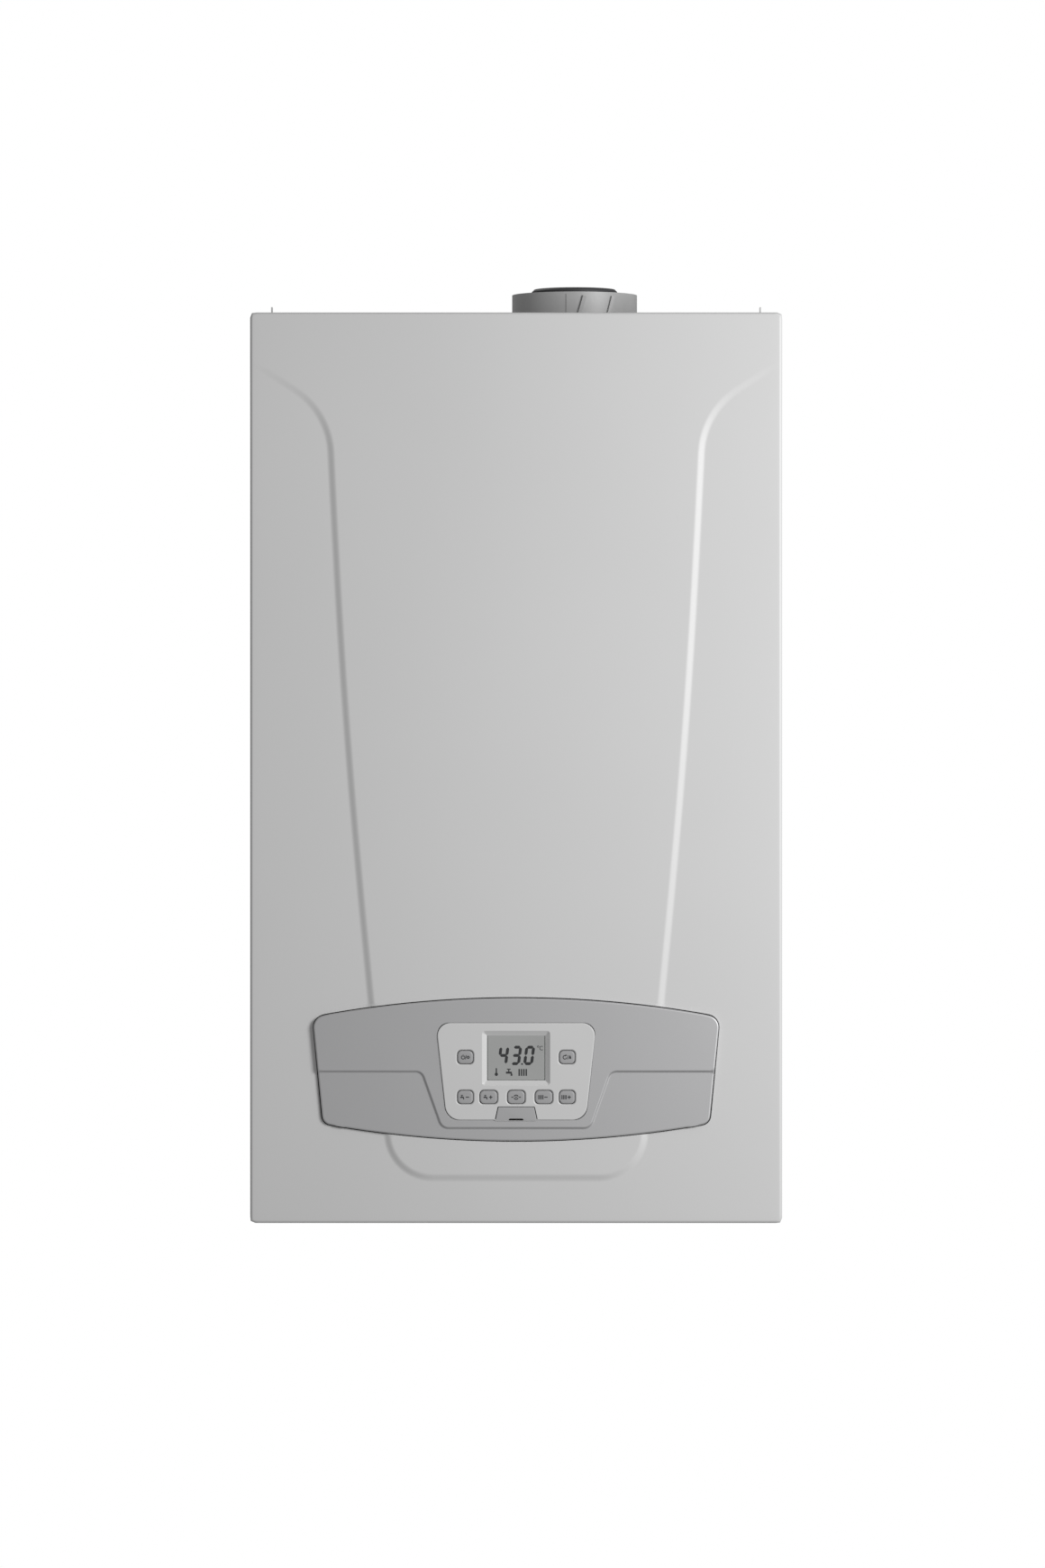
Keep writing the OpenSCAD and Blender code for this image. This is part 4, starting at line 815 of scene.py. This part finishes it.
@dataclass
class Console:
    """The hinged control console: fascia with recessed wings, light insert, display, keys and flap.

    Args:
        front: depth of the fascia's face from the wall.
        drop: how far the wings lie behind the face.
        bow: how far the face falls back at its ends.
        skirt: depth at which the fascia's sides end.
        bezel: depth of the insert's face.
        arm_x: middle of each hinge arm, from the console's middle.
        well: how much larger a key's well is than its cap.
        pin: depth, height and radius of the hinge pins.
    """

    front: float = 348.5
    drop: float = 1.5
    bow: float = 1.2
    skirt: float = 324.5
    bezel: float = 349.3
    arm_x: float = 149.25
    well: float = 2.8
    pin: Triple = (341.5, 96.0, 1.75)

    def face_edge(self) -> Array:
        """Outline of the raised part of the fascia: everything above the step, with a tongue below it.

        Returns:
            Anticlockwise loop.
        """
        right = [(63.5, 79.6, 9), (80.5, STEP_Z, 6), (230, STEP_Z, 0), (230, 240, 0)]
        first, *left = [(-x, z, radius) for x, z, radius in right]
        return rounded([first, *right, *left[::-1]], 10)

    def relief(self, x: Array, z: Array) -> Array:
        """Depth of the fascia: the wings, and the face above them by an eased step.

        Args:
            x: across.
            z: up.

        Returns:
            Depth from the wall.
        """
        on = smooth(depth_inside(np.stack([x, z], 1), self.raised) / 2.0)
        return self.front - self.drop * (1 - on) - self.bow * (x / 170) ** 2

    def lip(self, row: int, fall: float, end: float | None = None) -> Callable[[Array], Array]:
        """Tell where one row of the turned edge lies: cut off just behind the face at each hinge arm.

        Args:
            row: which row.
            fall: how far it lies behind the face.
            end: its depth from the wall, which takes the fall's place.

        Returns:
            A function from the edge's points to their depths.
        """
        half_notch, notch_top, hair = 4.6, 110, 0.02

        def level(edge: Array) -> Array:
            face = self.relief(edge[:, 0], edge[:, 1])
            plain = face - fall if end is None else np.full(len(edge), end)
            notch = (np.abs(np.abs(edge[:, 0]) - self.arm_x) < half_notch) & (edge[:, 1] < notch_top)
            return np.where(notch, np.maximum(plain, face - hair * (row + 1)), plain)
        return level

    def hinges(self) -> None:
        """Mould the two hinge ears behind the fascia, each with its pin."""
        for side in (-1, 1):
            loop = rectangle(3.0, 10.0, 0.8, side * (self.arm_x - 4.75), self.pin[1] + 1)
            ear = Lofted("hinge_ear", loop, [(0.4, 336.5), (0.0, 336.9), (0.0, 344.0)])
            ends = sorted((side * (self.arm_x - 4), side * (self.arm_x + 2.5)))
            for piece in (ear, Bar("hinge_pin", ends, *self.pin)):
                piece.build(FLAP_ABS, Body.CONSOLE)

    def fascia(self) -> Piece:
        """Mould the fascia.

        Returns:
            The fascia.
        """
        self.raised = self.face_edge()
        roll = Rim.rolled(1.2, 5)
        levels = {row: self.lip(row, fall) for row, (_, fall) in enumerate(roll)}
        levels |= {5: self.lip(5, 0, self.front - 5), 6: self.lip(6, 0, self.skirt)}
        outer = Rim(console_edge(-1.2), [*roll, (1.2, 0), (1.2, 0)], levels)
        hole = Rim(bezel_edge(0.35), [*Rim.rolled(0.35, 3), (0.35, 3)])
        end = 171.5
        step = self.raised[np.abs(self.raised[:, 0]) < end - 0.5]
        left, right = step[step[:, 0] < 0], step[step[:, 0] > 0]
        path = np.vstack([[[-end, STEP_Z]], left[np.argsort(-left[:, 1], kind="stable")],
                          right[np.argsort(right[:, 1], kind="stable")], [[end, STEP_Z]]])
        lines = [(path, -np.array([-0.4, 0, 0.35, 0.7, 1.0, 1.35, 1.7, 2.0, 2.4]))]
        sheet = PressedSheet("fascia_moulding", outer, [hole], self.relief, lines, 7.0, 1.5, 1.0)
        return sheet.build(FASCIA_ABS, Body.CONSOLE)

    def insert(self) -> Piece:
        """Mould the light insert with its display recess and key openings.

        Returns:
            The insert.
        """
        roll = Rim.rolled(0.7, 4)
        outer = Rim(bezel_edge(-0.8), [*roll, (0.7, 0)], {len(roll): 345.8})
        holes = []
        for key in KEYS:
            loop = rectangle(key.width + self.well, CAP_HEIGHT + self.well, 4.4, key.x, key.z)
            holes.append(Rim(loop, [(0.15, 0.05), (0.35, 0.2), (0.8, 0.75), (1.0, 1.0), (1.05, 1.2),
                                    (1.05, 3.0)]))
        window = rectangle(57.6, 46.2, 2.6, 0, 139.8)
        slant = [(0.15, 0.05), (0.3, 0.15), (4.0, 2.9), (4.2, 3.0), (4.3, 3.6)]
        holes.append(Rim(window, slant))
        flap = [(-18.6, 86.9, 1.2), (18.6, 86.9, 1.2), (15.9, 99.1, 1.2), (-15.9, 99.1, 1.2)]
        holes.append(Rim(rounded(flap), [*Rim.rolled(0.3, 3), (0.3, 2.6)]))
        level = lambda x, z: np.full_like(x, self.bezel)
        sheet = PressedSheet("display_insert", outer, holes, level, [], 6.0, 1.0, 0.0)
        return sheet.build(BEZEL_ABS, Body.CONSOLE)


class Glyph(str, Enum):
    """Small printed signs on the keys."""

    POWER = "power"
    RESET = "reset"
    TAP_MINUS = "tap_minus"
    TAP_PLUS = "tap_plus"
    RADIATOR_MINUS = "radiator_minus"
    RADIATOR_PLUS = "radiator_plus"
    AUTO = "auto"


@dataclass(frozen=True)
class Key:
    """One push key.

    Args:
        body: name of the body that it is.
        x: centre across.
        z: centre up.
        width: of the cap.
        glyph: its sign.
    """

    body: str
    x: float
    z: float
    width: float
    glyph: Glyph


HIGH_ROW, LOW_ROW = 140.5, 106.8
KEYS = (Key("button_power", -43, HIGH_ROW, 13, Glyph.POWER),
        Key("button_reset", 43, HIGH_ROW, 13, Glyph.RESET),
        Key("button_tap_minus", -43, LOW_ROW, 13, Glyph.TAP_MINUS),
        Key("button_tap_plus", -23.3, LOW_ROW, 14.5, Glyph.TAP_PLUS),
        Key("button_auto", 0, LOW_ROW, 14.5, Glyph.AUTO),
        Key("button_radiator_minus", 23.3, LOW_ROW, 14.5, Glyph.RADIATOR_MINUS),
        Key("button_radiator_plus", 43, LOW_ROW, 13, Glyph.RADIATOR_PLUS))


@dataclass
class Signs:
    """Flat printed signs, drawn as strokes and dots a hair above the surface they are printed on.

    Args:
        depth: depth of the surface under them.
        lift: how far the ink stands out.
        sunk: how far it goes in.
        loops: the outlines drawn so far.
    """

    depth: float
    lift: float = 0.05
    sunk: float = 0.02
    loops: list[Array] = field(default_factory=list)

    def stroke(self, line: Sequence[Pair], width: float,
               at: Pair = (0, 0)) -> None:
        """Add a stroke with square ends as one loop.

        Args:
            line: its points.
            width: its width.
            at: where its origin lies.
        """
        path = np.array(line, float) + at
        side = outward(path, False) * width / 2
        self.loops.append(np.vstack([path + side, (path - side)[::-1]]))

    def ring(self, radius: float, width: float, at: Pair, start: float = 0,
             end: float = 360) -> None:
        """Add an arc drawn with a stroke.

        Args:
            radius: of its middle line.
            width: of the stroke.
            at: centre.
            start: first angle in degrees.
            end: last angle in degrees.
        """
        turn = np.radians(np.linspace(start, end, 25))
        self.stroke(np.stack([radius * np.cos(turn), radius * np.sin(turn)], 1), width, at)

    def patch(self, points: Sequence[Pair], at: Pair = (0, 0)) -> None:
        """Add a filled anticlockwise outline.

        Args:
            points: its corners.
            at: where its origin lies.
        """
        self.loops.append(np.array(points, float) + at)

    def glyph(self, kind: Glyph, at: Pair) -> None:
        """Add the sign of a key.

        Args:
            kind: which sign.
            at: its centre.
        """
        x, z = at
        if kind is Glyph.POWER:
            self.ring(1.5, 0.7, (x - 1.8, z), 125, 415)
            self.stroke([(-1.8, 2.2), (-1.8, 0.3)], 0.7, at)
            self.stroke([(0.1, -1.8), (1.0, 1.8)], 0.5, at)
            self.ring(0.9, 0.8, (x + 2.5, z))
        elif kind is Glyph.RESET:
            self.ring(1.5, 0.7, (x - 1.8, z), 60, 350)
            self.patch([(-1.6, 0.9), (0.3, 1.5), (-1.2, 2.5)], at)
            self.stroke([(0.4, -1.8), (1.3, 1.8)], 0.5, at)
            self.patch([(1.7, -1.2), (3.6, -1.2), (3.3, 0.4), (2.6, 1.9), (1.8, 0.3)], at)
        elif kind is Glyph.AUTO:
            self.ring(1.8, 0.8, at, 20, 160)
            self.ring(1.8, 0.8, at, 200, 340)
            for place in (-3.2, 0.0, 3.2):
                self.stroke([(place - 0.8, 0), (place + 0.8, 0)], 0.8, at)
        else:
            if kind in (Glyph.TAP_MINUS, Glyph.TAP_PLUS):
                self.tap((x - 2.4, z), 0.62)
            else:
                self.fins((x - 2.4, z), 0.62)
            self.stroke([(0.5, 0), (3.3, 0)], 0.8, at)
            if kind in (Glyph.TAP_PLUS, Glyph.RADIATOR_PLUS):
                self.stroke([(1.9, 0.4), (1.9, 1.5)], 0.8, at)
                self.stroke([(1.9, -0.4), (1.9, -1.5)], 0.8, at)

    def tap(self, at: Pair, scale: float = 1.0) -> None:
        """Add a water tap.

        Args:
            at: its centre.
            scale: size, 1 being 6 mm across.
        """
        for line, width in (([(-3.0, -0.2), (2.0, -0.2)], 1.7), ([(1.7, -1.05), (1.7, -2.9)], 1.5),
                            ([(-0.6, 0.65), (-0.6, 2.3)], 1.0), ([(-2.2, 2.7), (1.0, 2.7)], 0.8)):
            self.stroke([(px * scale, pz * scale) for px, pz in line], width * scale, at)

    def fins(self, at: Pair, scale: float = 1.0) -> None:
        """Add a radiator's fins.

        Args:
            at: their centre.
            scale: size, 1 being 7 mm across.
        """
        for place in (-3.0, -1.0, 1.0, 3.0):
            self.stroke([(place * scale, -2.9 * scale), (place * scale, 2.9 * scale)], 1.2 * scale, at)

    def digit(self, number: str, at: Pair, width: float, height: float,
              slant: float) -> None:
        """Add a seven-segment digit.

        Args:
            number: the digit.
            at: its lower left corner.
            width: of the digit.
            height: of the digit.
            slant: shift to the right per height.
        """
        w, h, t, g = width, height, 2.5, 0.1
        half, near = height / 2, t / 2 + g
        flat = lambda z: [(near, z), (t, z - t / 2), (w - t, z - t / 2), (w - near, z),
                          (w - t, z + t / 2), (t, z + t / 2)]
        tall = lambda x, z: [(x, z + g), (x + t / 2, z + near), (x + t / 2, z + half - near),
                             (x, z + half - g), (x - t / 2, z + half - near), (x - t / 2, z + near)]
        parts = {"a": flat(h), "g": flat(half), "d": flat(0),
                 "f": tall(t / 2, half), "e": tall(t / 2, 0),
                 "b": tall(w - t / 2, half), "c": tall(w - t / 2, 0)}
        lit = {"0": "abcdef", "3": "abgcd", "4": "fgbc"}[number]
        for name in lit:
            pts = np.array(parts[name])
            pts[:, 0] += slant * pts[:, 1]
            self.patch(pts, at)

    def build(self, name: str, finish: Finish, body: Body | str) -> Piece:
        """Raise every loop to a thin prism and join them in one piece.

        Args:
            name: the piece's name.
            finish: ink.
            body: what it is printed on.

        Returns:
            The piece.
        """
        points, faces, at = [], [], 0
        for loop in self.loops:
            ahead = np.roll(loop, -1, axis=0)
            area = float(np.sum(loop[:, 0] * ahead[:, 1] - ahead[:, 0] * loop[:, 1]))
            loop = loop if area > 0 else loop[::-1]
            rows = [(0, self.depth - self.sunk), (0, self.depth + self.lift)]
            pts, quads = Lofted(name, loop, rows).mesh()
            points.append(pts)
            faces += [[i + at for i in f] for f in quads]
            at += len(pts)
        return add_piece(name, np.vstack(points), faces, finish, body)


@dataclass
class Keyboard:
    """The key caps with their signs, the flap and the display's contents.

    Args:
        face: depth of the caps' faces.
        back: depth of their backs.
    """

    face: float = 349.6
    back: float = 345.4

    def caps(self) -> None:
        """Make each cap with a softly rounded edge and its sign."""
        for key in KEYS:
            loop = rectangle(key.width, CAP_HEIGHT, 3.5, key.x, key.z)
            rows = [(0.0, self.back), (0.0, self.face - 1.0), (0.15, self.face - 0.5),
                    (0.5, self.face - 0.18), (1.0, self.face - 0.04), (1.7, self.face)]
            cap = Lofted(key.body + "_cap", loop, rows).build(KEY_SILICONE, key.body)
            signs = Signs(self.face)
            signs.glyph(key.glyph, (key.x, key.z))
            signs.build(key.body + "_sign", LEGEND_INK, key.body)
            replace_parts(cap, key.body)

    def flap(self) -> Piece:
        """Make the small service flap with its nail notch.

        Returns:
            The flap.
        """
        loop = rounded([(-17.6, 86.9, 0.8), (-6, 86.9, 0.3), (-5.4, 88.1, 0.5), (5.4, 88.1, 0.5),
                        (6, 86.9, 0.3), (17.6, 86.9, 0.8), (15.1, 98.4, 0.8), (-15.1, 98.4, 0.8)], 4)
        rows = [(0.0, 348.0), (0.0, 348.8), (0.1, 349.1), (0.35, 349.28), (0.6, 349.3)]
        leaf = Lofted("service_flap_leaf", loop, rows).build(FLAP_ABS, Body.FLAP)
        return leaf

    def display(self) -> None:
        """Make the display's film, digits and symbols, seen through the window."""
        back, face = 346.32, 346.35
        low, wide, high, slant = 135.0, 8.3, 13.9, 0.13
        film = Lofted("display_film", rectangle(48.0, 39.2, 1.0, 0, 140.9), [(0, back), (0, face)])
        film.build(DISPLAY_FILM, Body.CONSOLE)
        signs = Signs(face)
        for text, x in (("4", -15.8), ("3", -5.0), ("0", 6.0)):
            signs.digit(text, (x, low), wide, high, slant)
        signs.patch([(4.3, 134.0), (5.7, 134.0), (5.7, 135.4), (4.3, 135.4)])
        signs.ring(0.65, 0.4, (18.6, 149.4))
        signs.ring(1.6, 0.5, (21.6, 148.1), 50, 310)
        signs.stroke([(-16.7, 127.2), (-16.7, 131.2)], 1.1)
        signs.ring(0.75, 1.3, (-16.7, 126.0))
        signs.tap((-5.6, 127.6))
        signs.fins((5.6, 127.6))
        signs.build("display_symbols", LEGEND_INK, Body.CONSOLE)


@dataclass
class Studio:
    """Camera, lamps and white surroundings.

    Args:
        distance: from the casing's front to the camera, in metres.
        px_per_mm: scale of the photo at the casing's front.
        photo_height: of the photo, in pixels.
        middle: the photo's middle, across and above the casing's lower edge, in metres.
        eye: height of the camera above that edge, in metres.
        ambient: level of the light that comes from all round.
    """

    distance: float = 6.0
    px_per_mm: float = 1.313
    photo_height: int = 1740
    middle: Pair = (0.0054, 0.3713)
    eye: float = 0.385
    ambient: float = 0.3

    def camera(self) -> None:
        """Stand straight in front of the casing, level with its middle."""
        cam = bpy.data.cameras.new("camera")
        cam.sensor_fit = "VERTICAL"
        sensor = 36.0
        cam.sensor_height = sensor
        high = self.photo_height / self.px_per_mm * MM
        cam.lens = sensor * self.distance / high
        cam.shift_x = self.middle[0] / high
        cam.shift_y = (self.middle[1] - self.eye) / high
        cam.clip_end = 60
        view = bpy.data.objects.new("camera", cam)
        view.location = (0, -FRONT * MM - self.distance, self.eye - HANG * MM)
        view.rotation_euler = (math.radians(90), 0, 0)
        bpy.context.scene.collection.objects.link(view)
        bpy.context.scene.camera = view

    def lamp(self, name: str, place: Triple, aim: Triple,
             size: float, watts: float) -> None:
        """Add a square area lamp.

        Args:
            name: its name.
            place: where it hangs.
            aim: the point it faces.
            size: its side in metres.
            watts: its power.
        """
        data = bpy.data.lights.new(name, "AREA")
        data.size = size
        data.energy = watts
        lamp = bpy.data.objects.new(name, data)
        lamp.location = place
        lamp.rotation_euler = (Vector(aim) - Vector(place)).to_track_quat("-Z", "Y").to_euler()
        bpy.context.scene.collection.objects.link(lamp)

    def world(self) -> None:
        """White surroundings for the camera, softer light for the object."""
        world = bpy.data.worlds.new("surroundings")
        world.use_nodes = True
        bpy.context.scene.world = world
        tree = world.node_tree
        tree.nodes.clear()
        path = add_node(tree, "LightPath")
        light = add_node(tree, "Background", Color=(1, 1, 1, 1), Strength=self.ambient)
        white = add_node(tree, "Background", Color=(1, 1, 1, 1), Strength=1.0)
        mix = add_node(tree, "MixShader", in0=path.outputs["Is Camera Ray"], in1=light.outputs[0],
                       in2=white.outputs[0])
        out = tree.nodes.new("ShaderNodeOutputWorld")
        tree.links.new(mix.outputs[0], out.inputs["Surface"])

    def build(self) -> None:
        """Set everything up."""
        bpy.context.scene.view_settings.view_transform = "Standard"
        self.camera()
        self.world()
        self.lamp("key_lamp", (1.3, -1.6, 0.0), (0.1, -0.3, -0.35), 0.7, 31.5)
        self.lamp("low_rear_lamp", (-0.9, 1.5, -1.4), (0.0, -0.1, -0.5), 1.0, 12)
        self.lamp("high_rear_lamp", (-0.9, 1.2, 1.5), (0.0, -0.1, -0.2), 1.0, 8)


def dress_nodes() -> None:
    """Give every CAD node a worked-out finish, by the material slot that its record names."""
    slots = {part["node"]: part["material_slot"] for part in frame["record"]["subparts"]}
    for name, node in frame["nodes"].items():
        node.data.materials.clear()
        node.data.materials.append(SLOT_FINISH[slots[name]].make())


def main() -> None:
    """Build every assembly in order."""
    logging.basicConfig(level=logging.INFO)
    dress_nodes()
    Casing().build()
    console = Console()
    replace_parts(console.fascia(), "console_fascia")
    console.hinges()
    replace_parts(console.insert(), "display_bezel")
    board = Keyboard()
    board.caps()
    board.display()
    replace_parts(board.flap(), "service_flap")
    Studio().build()


if __name__ == "__main__":
    main()
